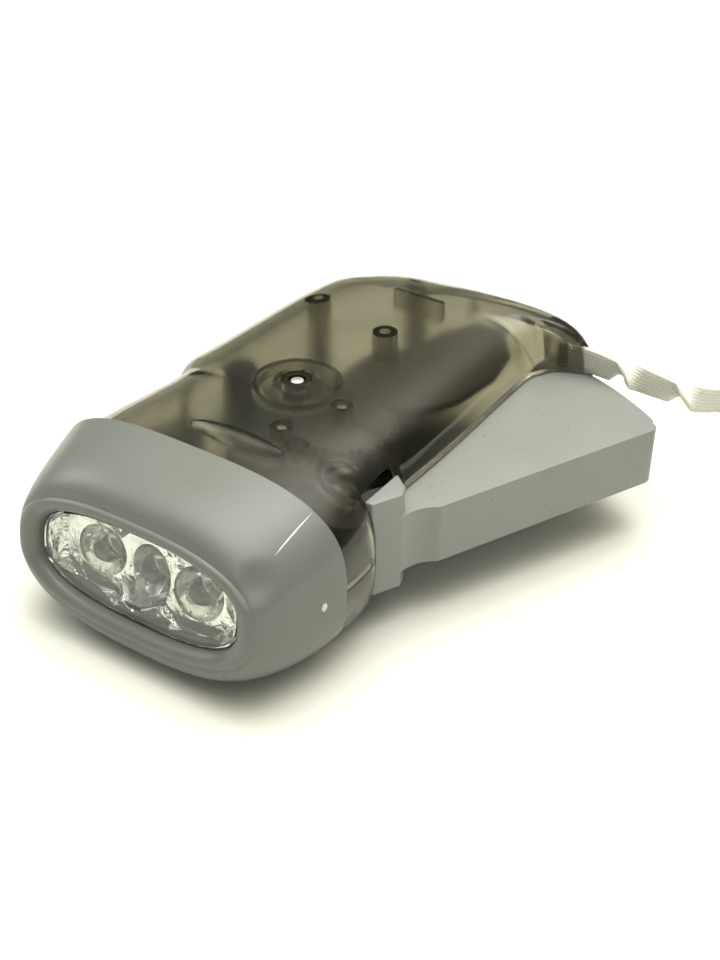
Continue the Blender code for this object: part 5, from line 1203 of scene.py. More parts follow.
class TORCH_OT_lamps(Operator):
    """Builds the three lamps, each with its lead frame and phosphor, and their board"""
    bl_idname = "torch.lamps"
    bl_label = "Lamps"

    def execute(self, context):
        for place in (-1, 0, 1):
            number = place + 2
            centre_x = place * context.scene.torch_head.lamp_pitch
            body = finished("lamp_%d" % number, lamp_body(centre_x), [shared(cast_clear_epoxy)])
            show(body, "clear_epoxy", "led_%d" % number)
            leads = finished("lamp_leads_%d" % number, lamp_leads(centre_x), [shared(tinned_lead)])
            show(leads, "turned_steel")
            die = finished("lamp_die_%d" % number, lamp_die(centre_x), [shared(phosphor_die)])
            show(die, "clear_epoxy")
        board = refined_copy("led_board", "lamp_board", shared(solder_mask_laminate))
        show(board, "green_laminate", "led_board")
        return {"FINISHED"}


def shell_marks(height, inset):
    """Marks round the shell: outline point, where its rib ends, rise and rounded edge length."""
    shell = bpy.context.scene.torch_shell
    length_y = shell.spine_end_y - shell.front_y
    spigots = ((0.0262, 0.0100, 0.0130), (0.0277, shell.front_y, 0.0143))
    right = []
    left = []
    for along, left_share, right_share, edge in SHELL_SIDE_SHARES:
        y = shell.front_y + length_y * along
        right.append((shell.half_width * right_share - inset, y, 0.0, y, height, shell.edge * edge))
        left.append((inset - shell.half_width * left_share, y, 0.0, y, height, shell.edge * edge))
    rear = []
    for across, along in SHELL_REAR_SHARES:
        x = shell.half_width * across
        y = (shell.rear_y - shell.spine_end_y) * along
        scale = 1 - inset / sqrt(x * x + y * y)
        rear.append((x * scale, shell.spine_end_y + y * scale, 0.0, shell.spine_end_y, height, shell.edge))
    start = [(width - inset, y, 0.0, y, rise, width) for width, y, rise in spigots]
    end = [(inset - width, y, 0.0, y, rise, width) for width, y, rise in reversed(spigots)]
    return start, right + rear + list(reversed(left)), end


def smooth_marks(marks, count):
    """The same marks with smooth ones between them."""
    points = [[Vector(mark[:3]), Vector(mark[3:])] for mark in marks]
    last = len(points) - 1
    result = []
    for index in range(last):
        before, start = points[max(index - 1, 0)], points[index]
        end, after = points[index + 1], points[min(index + 2, last)]
        for step in range(count):
            halves = [curve_between(before[i], start[i], end[i], after[i], step / count) for i in (0, 1)]
            result.append((*halves[0], *halves[1]))
    result.append(marks[-1])
    return result


def add_dome(bm, height, side, inset):
    """One half of the shell as ribs that run from the parting line to the spine."""
    shell = bpy.context.scene.torch_shell
    start, middle, end = shell_marks(height, inset)
    ribs = []
    for x, y, end_x, end_y, rise, edge in start + smooth_marks(middle, shell.outline_steps) + end:
        reach = sqrt((end_x - x) ** 2 + (end_y - y) ** 2)
        marks = [min(edge, reach) * share for share in SHELL_RISE_SHARES] + [reach]
        rib = []
        for mark in marks:
            share = mark / reach
            lift = power_curve(min(mark / edge, 1.0), SECTION_POWER)
            z = shell.parting_gap / 2 + (rise - inset - shell.parting_gap / 2) * lift
            place = (x + (end_x - x) * share, y + (end_y - y) * share, max(MIDPLANE + side * z, inset))
            rib.append(bm.verts.new(place))
        ribs.append(rib)
    for first, second in zip(ribs, ribs[1:]):
        for row in range(len(first) - 1):
            bm.faces.new((first[row], second[row], second[row + 1], first[row + 1]))
    return ribs


def shell_wall(name, height, side, finish):
    """A shell half of even wall, closed along the parting line and the front."""
    wall = bpy.context.scene.torch_shell.wall
    bm = bmesh.new()
    outside = add_dome(bm, height, side, 0.0)
    inside = add_dome(bm, height, side, wall)
    for index in range(len(outside) - 1):
        bm.faces.new((outside[index][0], outside[index + 1][0], inside[index + 1][0], inside[index][0]))
    for outer, inner in ((outside[0], inside[0]), (outside[-1], inside[-1])):
        for row in range(len(outer) - 1):
            bm.faces.new((outer[row], outer[row + 1], inner[row + 1], inner[row]))
    return finished(name, bm, [finish])


def shell_limit(name, height, side):
    """The space inside the shell up to the middle of its wall, which trims what is moulded inside."""
    bm = bmesh.new()
    ribs = add_dome(bm, height, side, bpy.context.scene.torch_shell.wall * LIMIT_SHARE)
    bm.faces.new([rib[0] for rib in ribs])
    bmesh.ops.remove_doubles(bm, verts=bm.verts, dist=WELD)
    bmesh.ops.holes_fill(bm, edges=bm.edges, sides=0)
    return finished(name, bm)


def mesh_distance(pair):
    """Distance between the axles of two meshed gears, from their module and teeth."""
    module, teeth, pinion_teeth = pair
    return module * (teeth + pinion_teeth) / 2


def gear_places():
    """Axle places of the first and second gear, from the distances at which each pair meshes."""
    reach = mesh_distance(LEVER_MESH)
    first_x = PIVOT_X + reach * cos(FIRST_GEAR_BEARING)
    first_y = PIVOT_Y + reach * sin(FIRST_GEAR_BEARING)
    near = mesh_distance(GEAR_MESH)
    far = mesh_distance(ROTOR_MESH)
    span_x = ROTOR_PLACE[0] - first_x
    span_y = ROTOR_PLACE[1] - first_y
    direct = sqrt(span_x ** 2 + span_y ** 2)
    along = (near ** 2 - far ** 2 + direct ** 2) / (2 * direct)
    aside = sqrt(near ** 2 - along ** 2)
    second_x = first_x + (along * span_x + aside * span_y) / direct
    second_y = first_y + (along * span_y - aside * span_x) / direct
    return (first_x, first_y), (second_x, second_y)


def side_openings():
    """Cutters for the lever's slot and for the window of its pivot block."""
    shell = bpy.context.scene.torch_shell
    start = acos((OPENING_OUTER_X - PIVOT_X) / shell.slot_reach)
    end = acos((OPENING_INNER_X - PIVOT_X) / shell.slot_reach)
    slot = [(OPENING_INNER_X, SLOT_START_Y), (OPENING_OUTER_X, SLOT_START_Y)]
    slot += arc_points(PIVOT_PLACE, shell.slot_reach, start, end, 36)
    middle = ((OPENING_INNER_X + OPENING_OUTER_X) / 2, WINDOW_MIDDLE_Y)
    window = box_points(middle, OPENING_OUTER_X - OPENING_INNER_X, WINDOW_LENGTH)
    return (
        prism("slot_cut", slot, MIDPLANE - shell.slot_half_height, MIDPLANE + shell.slot_half_height),
        prism("window_cut", window, *WINDOW_SPAN),
    )


def switch_cut():
    """Cutter for the opening that the switch's slider moves in."""
    opening = box_points(SWITCH_CUT_PLACE, *SWITCH_CUT_SIZE)
    return prism("switch_cut", opening, MIDPLANE - SWITCH_CUT_HALF_HEIGHT, MIDPLANE + SWITCH_CUT_HALF_HEIGHT)


def columns(name, rows):
    """Upright columns, one for each place, radius, lower end and upper end."""
    bm = bmesh.new()
    for place, radius, low, high in rows:
        add_column(bm, place, radius, low, high)
    return finished(name, bm)


def upper_inside():
    """Bosses, posts and ribs that hang from the upper half."""
    shell = bpy.context.scene.torch_shell
    first, second = gear_places()
    top = MIDPLANE + shell.top_height
    boss_low = MIDPLANE + 0.0110
    pivot_boss_low = MIDPLANE + 0.0088
    bush_boss_low = MIDPLANE + 0.0120
    rib_drop = 0.0060
    rear_rib_drop = 0.0095
    bm = bmesh.new()
    add_column(bm, PIVOT_PLACE, shell.boss_radius, pivot_boss_low, top)
    ring = [(shell.pivot_ring - shell.pivot_ring_wall, boss_low), (shell.pivot_ring, boss_low)]
    ring += [(radius, top) for radius, height in reversed(ring)]
    add_turned(bm, ring, PIVOT_PLACE, 72, True)
    for place in (first, second, SMALL_BOSS):
        add_column(bm, place, GEAR_BOSS_RADIUS, boss_low, top)
    add_column(bm, ROTOR_PLACE, BUSH_BOSS_RADIUS, bush_boss_low, top)
    for place in POST_PLACES:
        add_column(bm, place, shell.post_radius, MIDPLANE + shell.parting_gap / 2, top)
    add_prism(bm, box_points(RIB_PLACE, RIB_LENGTH, shell.rib_thickness), top - rib_drop, top)
    rear_rib = box_points(REAR_RIB_PLACE, shell.rib_thickness, 2 * shell.rib_thickness)
    add_prism(bm, rear_rib, top - rear_rib_drop, top)
    add_prism(bm, box_points(ANCHOR_PLACE, *ANCHOR_SIZE), MIDPLANE + shell.slot_half_height + GAP, top)
    return finished("upper_inside", bm)


def upper_bores():
    """Bores for the pin, the axles, the bush and the screws in the upper half."""
    first, second = gear_places()
    top = MIDPLANE + bpy.context.scene.torch_shell.top_height
    axle_span = span(0.0089, 0.0141)
    screw_bore_top = top - 0.0016
    return columns("upper_bores", [
        (PIVOT_PLACE, PIN_BORE_RADIUS, *span(0.0068, 0.0111)),
        (first, AXLE_BORE_RADIUS, *axle_span),
        (second, AXLE_BORE_RADIUS, *axle_span),
        (SMALL_BOSS, STUD_BORE_RADIUS, *span(0.0089, 0.0146)),
        (ROTOR_PLACE, BUSH_BORE_RADIUS, MIDPLANE + 0.0100, top + OVERRUN),
        *((place, SCREW_BORE_RADIUS, MIDPLANE - OVERRUN, screw_bore_top) for place in POST_PLACES),
    ])


def snap_recess():
    """A shallow scoop with pointed ends over the front snap."""
    shell = bpy.context.scene.torch_shell
    top = MIDPLANE + shell.top_height
    bm = bmesh.new()
    bmesh.ops.create_uvsphere(bm, u_segments=64, v_segments=32, radius=0.5)
    bmesh.ops.scale(bm, verts=bm.verts, vec=(shell.snap_length, shell.snap_width, shell.snap_depth * 2))
    bmesh.ops.translate(bm, verts=bm.verts, vec=(*SNAP_PLACE, top))
    return finished("snap_cut", bm)


def mark_inside(piece, height, side):
    """Marks the faces that aren't on the polished outside, so that they get the softer gloss."""
    bm = bmesh.new()
    add_dome(bm, height, side, 0.0)
    bmesh.ops.translate(bm, verts=bm.verts, vec=(0, -ORIGIN_Y, 0))
    outside = BVHTree.FromBMesh(bm)
    bm.free()
    marks = piece.data.attributes.new("moulded_inside", "FLOAT", "FACE")
    for index, polygon in enumerate(piece.data.polygons):
        distance = outside.find_nearest(polygon.center)[3]
        marks.data[index].value = 0.0 if distance < POLISHED_REACH else 1.0


class TORCH_OT_upper_shell(Operator):
    """Builds the upper smoke shell with its bosses, posts, ribs and openings"""
    bl_idname = "torch.upper_shell"
    bl_label = "Upper shell"

    def execute(self, context):
        shell = context.scene.torch_shell
        height = shell.top_height
        piece = shell_wall("upper_smoke_shell", height, 1, shared(smoke_polycarbonate))
        inside = shape_with(upper_inside(), [(shell_limit("upper_limit", height, 1), "INTERSECT")])
        ring_inner = shell.ring_radius - shell.ring_wall
        ring_low = MIDPLANE + height - shell.wall - shell.ring_drop
        ring_high = MIDPLANE + height - shell.wall / 2
        ring_profile = [
            (ring_inner, ring_low), (shell.ring_radius, ring_low),
            (shell.ring_radius, ring_high), (ring_inner, ring_high),
        ]
        ring = bmesh.new()
        add_turned(ring, ring_profile, ROTOR_PLACE, 96, True)
        slot, window = side_openings()
        strap_hole = box_points(STRAP_HOLE_PLACE, *STRAP_HOLE_SIZE)
        tools = [
            (inside, "UNION"),
            (finished("ring", ring), "UNION"),
            (slot, "DIFFERENCE"),
            (window, "DIFFERENCE"),
            (upper_bores(), "DIFFERENCE"),
            (snap_recess(), "DIFFERENCE"),
            (prism("strap_cut", strap_hole, *STRAP_HOLE_SPAN), "DIFFERENCE"),
            (switch_cut(), "DIFFERENCE"),
        ]
        shape_with(piece, tools, 0.5)
        mark_inside(piece, height, 1)
        show(piece, "smoke_shell", "upper_shell")
        return {"FINISHED"}


def lower_inside():
    """Bosses and posts that stand on the lower half."""
    shell = bpy.context.scene.torch_shell
    first, second = gear_places()
    board_post_top = MIDPLANE - 0.0045
    return columns("lower_inside", [
        (PIVOT_PLACE, shell.boss_radius, 0.0, MIDPLANE - 0.0091),
        (first, GEAR_BOSS_RADIUS, 0.0, MIDPLANE + 0.0004),
        (ROTOR_PLACE, BUSH_BOSS_RADIUS, 0.0, MIDPLANE - 0.0125),
        *((place, LOWER_POST_RADIUS, 0.0, MIDPLANE - shell.parting_gap / 2) for place in POST_PLACES),
        (CELL_POST_PLACE, BOARD_POST_RADIUS, 0.0, MIDPLANE - 0.0033),
        ((BOARD_X, BOARD_Y - BOARD_POST_OFFSET), BOARD_POST_RADIUS, 0.0, board_post_top),
        ((BOARD_X, BOARD_Y + BOARD_POST_OFFSET), BOARD_POST_RADIUS, 0.0, board_post_top),
    ])


def cell_tray():
    """The raised ring that the coin cell lies in, with a rim round it."""
    bm = bmesh.new()
    add_turned(bm, CELL_TRAY_PROFILE, CELL_PLACE, 72, True)
    return finished("cell_tray", bm)


def lower_bores():
    """Bores for the pin, the first axle, the bush and the screw heads in the lower half."""
    first, second = gear_places()
    return columns("lower_bores", [
        (PIVOT_PLACE, PIN_BORE_RADIUS, *span(-0.0109, -0.0066)),
        (first, AXLE_BORE_RADIUS, *span(-0.0145, 0.0009)),
        (ROTOR_PLACE, BUSH_BORE_RADIUS, *span(-0.0149, -0.0102)),
        *((place, SCREW_HEAD_BORE_RADIUS, -OVERRUN, SCREW_HEAD_BORE_TOP) for place in POST_PLACES),
    ])


def screw_clearance():
    """Bores that the screws' shanks pass in the lower posts."""
    rows = [(place, SCREW_BORE_RADIUS, SCREW_SHANK_LOW, MIDPLANE + OVERRUN) for place in POST_PLACES]
    return columns("screw_clearance", rows)


class TORCH_OT_lower_shell(Operator):
    """Builds the lower smoke shell with its posts, cell tray and openings"""
    bl_idname = "torch.lower_shell"
    bl_label = "Lower shell"

    def execute(self, context):
        height = context.scene.torch_shell.bottom_height
        piece = shell_wall("lower_smoke_shell", height, -1, shared(smoke_polycarbonate))
        tools = []
        for part, name in ((lower_inside, "lower_limit"), (cell_tray, "tray_limit")):
            tools.append((shape_with(part(), [(shell_limit(name, height, -1), "INTERSECT")]), "UNION"))
        cutters = (*side_openings(), lower_bores(), screw_clearance(), switch_cut())
        tools += [(cutter, "DIFFERENCE") for cutter in cutters]
        shape_with(piece, tools, 0.5)
        mark_inside(piece, height, -1)
        show(piece, "smoke_shell", "lower_shell")
        return {"FINISHED"}


def show_copies(rows, body="housing"):
    """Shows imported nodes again: node, finish, slot, and how far the copy's edges are broken."""
    for node, finish, slot, edge in rows:
        show(refined_copy(node, "shown_" + node, shared(finish), edge), slot, node, body=body)


def new_tree(name, inputs):
    """A geometry tree with named inputs, each with its kind of socket."""
    tree = bpy.data.node_groups.new(name, "GeometryNodeTree")
    for label, kind in inputs:
        tree.interface.new_socket(label, in_out="INPUT", socket_type="NodeSocket" + kind)
    tree.interface.new_socket("Geometry", in_out="OUTPUT", socket_type="NodeSocketGeometry")
    return tree, tree.nodes.new("NodeGroupInput").outputs


def close_tree(tree, geometry, finish):
    """Ends a tree: real geometry, smooth, with its finish."""
    real = add_node(tree, "GeometryNodeRealizeInstances", {"Geometry": geometry})
    smooth = add_node(tree, "GeometryNodeSetShadeSmooth", {"Geometry": real.outputs[0]})
    dressed = add_node(tree, "GeometryNodeSetMaterial", {"Geometry": smooth.outputs[0], "Material": finish})
    add_node(tree, "NodeGroupOutput", {"Geometry": dressed.outputs[0]})
    return tree


def ring_tree():
    """A stack of wire rings: coil turns or the crests of a thread."""
    made = bpy.data.node_groups.get("ring_stack")
    if made:
        return made
    tree, given = new_tree("ring_stack", (
        ("Geometry", "Geometry"), ("Count", "Int"), ("Start", "Vector"), ("Step", "Vector"),
        ("Ring Radius", "Float"), ("Wire Radius", "Float"), ("Finish", "Material"),
    ))
    line = add_node(
        tree, "GeometryNodeMeshLine",
        {"Count": given["Count"], "Start Location": given["Start"], "Offset": given["Step"]},
    ).outputs[0]
    circles = []
    for corners, radius in ((72, "Ring Radius"), (8, "Wire Radius")):
        inputs = {"Resolution": corners, "Radius": given[radius]}
        circles.append(add_node(tree, "GeometryNodeCurvePrimitiveCircle", inputs).outputs[0])
    ring, wire = circles
    tube = add_node(tree, "GeometryNodeCurveToMesh", {"Curve": ring, "Profile Curve": wire}).outputs[0]
    stack = add_node(tree, "GeometryNodeInstanceOnPoints", {"Points": line, "Instance": tube})
    return close_tree(tree, stack.outputs[0], given["Finish"])


def bead_tree():
    """A small bead on every point, drawn out along the direction that the point carries."""
    made = bpy.data.node_groups.get("beads_on_points")
    if made:
        return made
    tree, given = new_tree("beads_on_points", (
        ("Geometry", "Geometry"), ("Radius", "Float"), ("Stretch", "Vector"), ("Finish", "Material"),
    ))
    lay = add_node(tree, "GeometryNodeInputNamedAttribute", {"Name": "lay"}, data_type="FLOAT_VECTOR")
    turn = add_node(
        tree, "FunctionNodeAlignRotationToVector", {"Vector": lay.outputs["Attribute"]}, axis="Z",
    )
    bead = add_node(
        tree, "GeometryNodeMeshUVSphere", {"Segments": 16, "Rings": 10, "Radius": given["Radius"]},
    )
    beads = add_node(tree, "GeometryNodeInstanceOnPoints", {
        "Points": given["Geometry"], "Instance": bead.outputs[0],
        "Rotation": turn.outputs[0], "Scale": given["Stretch"],
    })
    return close_tree(tree, beads.outputs[0], given["Finish"])


def grow(name, mesh, tree, **values):
    """Runs a geometry tree on a mesh with the named inputs set, and keeps the plain result."""
    piece = bpy.data.objects.new(name, mesh)
    bpy.context.scene.collection.objects.link(piece)
    modifier = piece.modifiers.new(tree.name, "NODES")
    modifier.node_group = tree
    for item in tree.interface.items_tree:
        label = item.name.replace(" ", "_").lower()
        if item.in_out == "INPUT" and label in values:
            modifier[item.identifier] = values[label]
    bpy.context.view_layer.update()
    grown = bpy.data.meshes.new_from_object(piece.evaluated_get(bpy.context.evaluated_depsgraph_get()))
    piece.modifiers.clear()
    piece.data = grown
    grown.name = name
    while grown.materials and grown.materials[0] is None:
        grown.materials.pop(index=0)
    return piece


def point_mesh(name, points, directions):
    """Loose points with the direction in which each bead lies."""
    mesh = bpy.data.meshes.new(name)
    mesh.from_pydata([(x, y - ORIGIN_Y, z) for x, y, z in points], [], [])
    lay = mesh.attributes.new("lay", "FLOAT_VECTOR", "POINT")
    for index, direction in enumerate(directions):
        lay.data[index].vector = direction
    return mesh


def wound_rings(name, centre, low, high, ring_radius, wire_radius, pitch, finish):
    """Wire rings stacked round an upright axis, from a lower to an upper end."""
    count = max(int((high - low) / pitch), 2)
    start = (centre[0], centre[1] - ORIGIN_Y, low + pitch / 2)
    return grow(
        name, bpy.data.meshes.new(name), ring_tree(), count=count, start=start, step=(0, 0, pitch),
        ring_radius=ring_radius, wire_radius=wire_radius, finish=finish,
    )


class TORCH_OT_gears(Operator):
    """Dresses the two compound gears, their axles, the lever's pin and its spring"""
    bl_idname = "torch.gears"
    bl_label = "Gear train"

    def execute(self, context):
        for gear in ("first_gear", "second_gear"):
            show_copies([(gear, black_acetal, "black_acetal", TOOTH_EDGE)], gear)
        show_copies((
            ("first_gear_axle", turned_steel, "turned_steel", FINE_EDGE),
            ("second_gear_axle", turned_steel, "turned_steel", FINE_EDGE),
            ("lever_pivot_pin", turned_steel, "turned_steel", FINE_EDGE),
            ("lever_spring", drawn_spring_wire, "turned_steel", 0.0),
        ))
        return {"FINISHED"}


class TORCH_OT_black_plates(Operator):
    """Builds the cover over the lever's sweep and the seat under its spring, each threaded on a post"""
    bl_idname = "torch.black_plates"
    bl_label = "Black plates"

    def execute(self, context):
        shell = context.scene.torch_shell
        plates = (
            ("sweep_cover", SWEEP_COVER_OUTLINE, POST_PLACES[0], shell.post_radius, SWEEP_COVER_LOW),
            ("spring_seat", SPRING_SEAT_OUTLINE, PIVOT_PLACE, shell.boss_radius, SPRING_SEAT_LOW),
        )
        for name, outline, place, radius, low in plates:
            plate = prism(name, outline, low, low + shell.plate_thickness)
            hole = columns("post_hole", [(place, radius + GAP, low - OVERRUN, low + OVERRUN)])
            shape_with(plate, [(hole, "DIFFERENCE")])
            plate.data.materials.append(shared(black_acetal))
            round_edges(plate, GAP, 2, 0.9)
            show(plate, "black_acetal")
        return {"FINISHED"}


class TORCH_OT_rotor(Operator):
    """Dresses what turns in the generator: shaft, pinion, flywheel and magnet"""
    bl_idname = "torch.rotor"
    bl_label = "Rotor"

    def execute(self, context):
        show_copies((
            ("rotor_shaft", turned_steel, "turned_steel", TURNED_EDGE),
            ("rotor_pinion", black_acetal, "black_acetal", TOOTH_EDGE),
            ("flywheel", die_cast_zinc, "zinc_casting", TURNED_EDGE),
            ("ring_magnet", sintered_ferrite, "ferrite", CAST_EDGE),
        ), "rotor")
        return {"FINISHED"}


class TORCH_OT_generator(Operator):
    """Dresses the claw plates, the bobbin and the bushes, and winds the coil"""
    bl_idname = "torch.generator"
    bl_label = "Generator"

    def execute(self, context):
        show_copies((
            ("upper_yoke", pressed_iron, "rolled_iron", FINE_EDGE),
            ("lower_yoke", pressed_iron, "rolled_iron", FINE_EDGE),
            ("coil_bobbin", black_acetal, "black_acetal", MOULDED_EDGE),
            ("upper_bush", oiled_bronze, "bronze_bush", TURNED_EDGE),
            ("lower_bush", oiled_bronze, "bronze_bush", TURNED_EDGE),
        ))
        copper = shared(enamelled_copper)
        wire = context.scene.torch_trim.wire_radius
        low, high = COIL_SPAN
        inner = COIL_INNER_RADIUS
        outer = COIL_OUTER_RADIUS - wire * 2
        core = bmesh.new()
        add_turned(core, [(inner, low), (outer, low), (outer, high), (inner, high)], ROTOR_PLACE, 72, True)
        show(finished("coil_core", core, [copper]), "copper_winding", "coil_winding")
        turns = wound_rings(
            "coil_turns", ROTOR_PLACE, low, high, COIL_OUTER_RADIUS - wire, wire, wire * 2, copper,
        )
        show(turns, "copper_winding")
        return {"FINISHED"}


def cross_points(centre, across, width):
    """Outline of a cross slot."""
    reach = across / 2
    half = width / 2
    arm = ((reach, -half), (reach, half), (half, half))
    points = []
    for turn_x, turn_y in ((1, 0), (0, 1), (-1, 0), (0, -1)):
        for x, y in arm:
            points.append((centre[0] + x * turn_x - y * turn_y, centre[1] + x * turn_y + y * turn_x))
    return points


class TORCH_OT_screws(Operator):
    """Dresses the three screws and gives each its thread and cross slot"""
    bl_idname = "torch.screws"
    bl_label = "Screws"

    def execute(self, context):
        pitch = context.scene.torch_trim.thread_pitch
        zinc = shared(zinc_plated_steel)
        for number, place in enumerate(POST_PLACES, 1):
            node = "shell_screw_%d" % number
            screw = refined_copy(node, "shown_" + node, zinc, SCREW_EDGE)
            slot = prism("cross_slot", cross_points(place, *CROSS_SLOT_SIZE), *CROSS_SLOT_SPAN)
            shape_with(screw, [(slot, "DIFFERENCE")])
            show(screw, "turned_steel", node)
            thread = wound_rings(
                "screw_thread_%d" % number, place, *THREAD_SPAN, THREAD_RADIUS, THREAD_CREST, pitch, zinc,
            )
            show(thread, "turned_steel")
        return {"FINISHED"}


def capacitor_can():
    """Sleeved can with a rolled groove low down and a bare scored top."""
    low = MIDPLANE - 0.0027
    high = low + 0.0120
    radius = 0.0035
    rounding = 0.0003
    groove_low = low + 0.0013
    groove_height = 0.0008
    groove_depth = 0.0004
    sleeve_rounding = 0.0005
    top_inset = 0.0009
    score_inset = 0.0010
    score = high - 0.0004
    profile = [(0.0, low), (radius - rounding, low), (radius, low + rounding)]
    for index in range(9):
        angle = pi * index / 8
        profile.append((radius - groove_depth * sin(angle), groove_low + groove_height * index / 8))
    profile += [
        (radius, high - sleeve_rounding), (radius - sleeve_rounding, high), (radius - top_inset, high),
        (radius - score_inset, score), (0.0, score),
    ]
    bm = bmesh.new()
    add_turned(bm, profile, CAPACITOR_PLACE, 64, False)
    return finished("sleeved_capacitor", bm, [shared(shrink_sleeve)])


def chip_legs():
    """The driver chip's eight legs, each a foot on the board and an upright part."""
    pitch = 0.00127
    first_y = CHIP_Y - 0.0019
    foot_x = 0.0024
    foot_length = 0.0009
    leg_x = 0.0021
    leg_length = 0.0003
    width = 0.0004
    foot_low = BOARD_TOP + 0.00002
    foot_top = BOARD_TOP + 0.0004
    leg_top = BOARD_TOP + 0.0011
    bm = bmesh.new()
    for row in range(4):
        y = first_y + pitch * row
        for side in (-1, 1):
            add_prism(bm, box_points((BOARD_X + side * foot_x, y), foot_length, width), foot_low, foot_top)
            add_prism(bm, box_points((BOARD_X + side * leg_x, y), leg_length, width), foot_top, leg_top)
    return finished("chip_legs", bm, [shared(tinned_lead)])


def solder_joints():
    """A bead of solder on each lamp lead behind its board and on each pad of the control board."""
    trim = bpy.context.scene.torch_trim
    head = bpy.context.scene.torch_head
    rear = head.lamp_front + head.lamp_length + GAP + LAMP_BOARD_DEPTH
    points = []
    directions = []
    for place in (-1, 0, 1):
        for aside in (-LEAD_OFFSET, LEAD_OFFSET):
            points.append(tilted(place * head.lamp_pitch + aside, rear, 0.0))
            directions.append((0, cos(head.tilt), -sin(head.tilt)))
    for column in (-PAD_OFFSET, PAD_OFFSET):
        for row in range(6):
            points.append((BOARD_X + column, FIRST_PAD_Y + PAD_PITCH * row, BOARD_TOP))
            directions.append((0, 0, 1))
    return grow(
        "solder_joints", point_mesh("solder_joints", points, directions), bead_tree(),
        radius=trim.solder_radius, stretch=(1.0, 1.0, 0.7), finish=shared(tinned_lead),
    )


class TORCH_OT_electronics(Operator):
    """Builds the circuit board's parts, the capacitor, the cell and the solder joints"""
    bl_idname = "torch.electronics"
    bl_label = "Electronics"

    def execute(self, context):
        board = refined_copy("control_board", "shown_board", shared(solder_mask_laminate))
        show(board, "green_laminate", "control_board")
        chip = refined_copy("driver_chip", "shown_chip", shared(black_acetal))
        show(chip, "black_acetal", "driver_chip")
        show(chip_legs(), "turned_steel")
        show(capacitor_can(), "blue_sleeve", "storage_capacitor")
        cell = refined_copy("coin_cell", "shown_cell", shared(nickel_plated_steel), CELL_EDGE)
        show(cell, "cell_steel", "coin_cell")
        show(solder_joints(), "turned_steel")
        return {"FINISHED"}


def switch_row(name, finishes, offset, pitch, count, size, half_height):
    """Equal boxes in a row from front to back of the switch, level with the midplane."""
    start_x = SWITCH_PLACE[0] + offset[0]
    start_y = SWITCH_PLACE[1] + offset[1]
    bm = bmesh.new()
    for row in range(count):
        corners = box_points((start_x, start_y + pitch * row), *size)
        add_prism(bm, corners, MIDPLANE - half_height, MIDPLANE + half_height)
    return finished(name, bm, finishes)


class TORCH_OT_switch(Operator):
    """Builds the slide switch: its body with soldered pins and the ribbed slider"""
    bl_idname = "torch.switch"
    bl_label = "Switch"

    def execute(self, context):
        show_copies([("switch_body", black_acetal, "black_acetal", CAST_EDGE)])
        grey = shared(satin_moulded_abs)
        slider = refined_copy("switch_slider", "shown_switch_slider", grey, SLIDER_EDGE)
        shape_with(slider, [(switch_row("grooves", (), *GROOVES), "DIFFERENCE")])
        show(slider, "grey_abs", "switch_slider", body="switch")
        show(switch_row("switch_pins", [shared(tinned_lead)], *SWITCH_PINS), "turned_steel")
        return {"FINISHED"}


class TORCH_OT_stitches(Operator):
    """Sews the strap's end to itself with two rows of stitches"""
    bl_idname = "torch.stitches"
    bl_label = "Stitches"

    def execute(self, context):
        trim = context.scene.torch_trim
        frames = strap_frames()
        points = []
        directions = []
        run = 0.0
        due = trim.stitch_pitch
        backwards = frames[::-1]
        for (centre, wide, thin, forward), (before, *rest) in zip(backwards, backwards[1:]):
            run += (centre - before).length
            while run > due and len(points) < STITCH_COUNT:
                lift = trim.strap_thickness / 2 + trim.stitch_radius / 2
                surface = before + thin * side_out(thin) * lift
                along = surface + (centre - before).normalized() * (run - due)
                for across in STITCH_ROW_SHARES:
                    points.append(along + wide * trim.strap_width * across)
                    directions.append(forward)
                due += trim.stitch_pitch
        stitches = grow(
            "strap_stitches", point_mesh("strap_stitches", points, directions), bead_tree(),
            radius=trim.stitch_radius, stretch=STITCH_STRETCH, finish=shared(sewing_thread),
        )
        show(stitches, "woven_nylon")
        return {"FINISHED"}


def side_out(thin):
    """The face of the sewn end that looks away from the tape it lies against."""
    return -1 if thin.y > 0 else 1


def lever_outline():
    """The grip seen from above: hub side, pivot block, front curve, rear end and inner edge."""
    lever = bpy.context.scene.torch_lever
    points = [(PIVOT_X, PIVOT_Y - lever.wall), BLOCK_FRONT]
    middle = (BLOCK_SIDE[0] + GAP, LEVER_FRONT[1] - lever.wall)
    marks = (BLOCK_SIDE, middle, LEVER_FRONT)
    for share in shares(12):
        weights = ((1 - share) ** 2, 2 * share * (1 - share), share ** 2)
        place = [sum(weight * mark[axis] for weight, mark in zip(weights, marks)) for axis in (0, 1)]
        points.append(tuple(place))
    rear = lever_rear(0.0)
    corner = rear[0]
    rounding = lever.corner_rounding
    points += rounded_corner(LEVER_FRONT, corner, rear[-1], rounding)
    points += [(x, y) for x, y in rear[1:] if hypot(x - corner[0], y - corner[1]) > rounding]
    points.append((LEVER_INNER_X, points[-1][1]))
    points.append((LEVER_INNER_X, LEVER_HOLLOW_Y))
    points.append((PIVOT_X - lever.wall, PIVOT_Y + lever.hub_radius))
    return points


def rounded_corner(before, corner, after, reach):
    """A smooth bend in place of a corner, starting and ending at a distance from it."""
    corner = Vector(corner)
    start = corner + (Vector(before) - corner).normalized() * reach
    end = corner + (Vector(after) - corner).normalized() * reach
    points = []
    for share in shares(8):
        points.append(tuple(start * (1 - share) ** 2 + corner * 2 * share * (1 - share) + end * share ** 2))
    return points


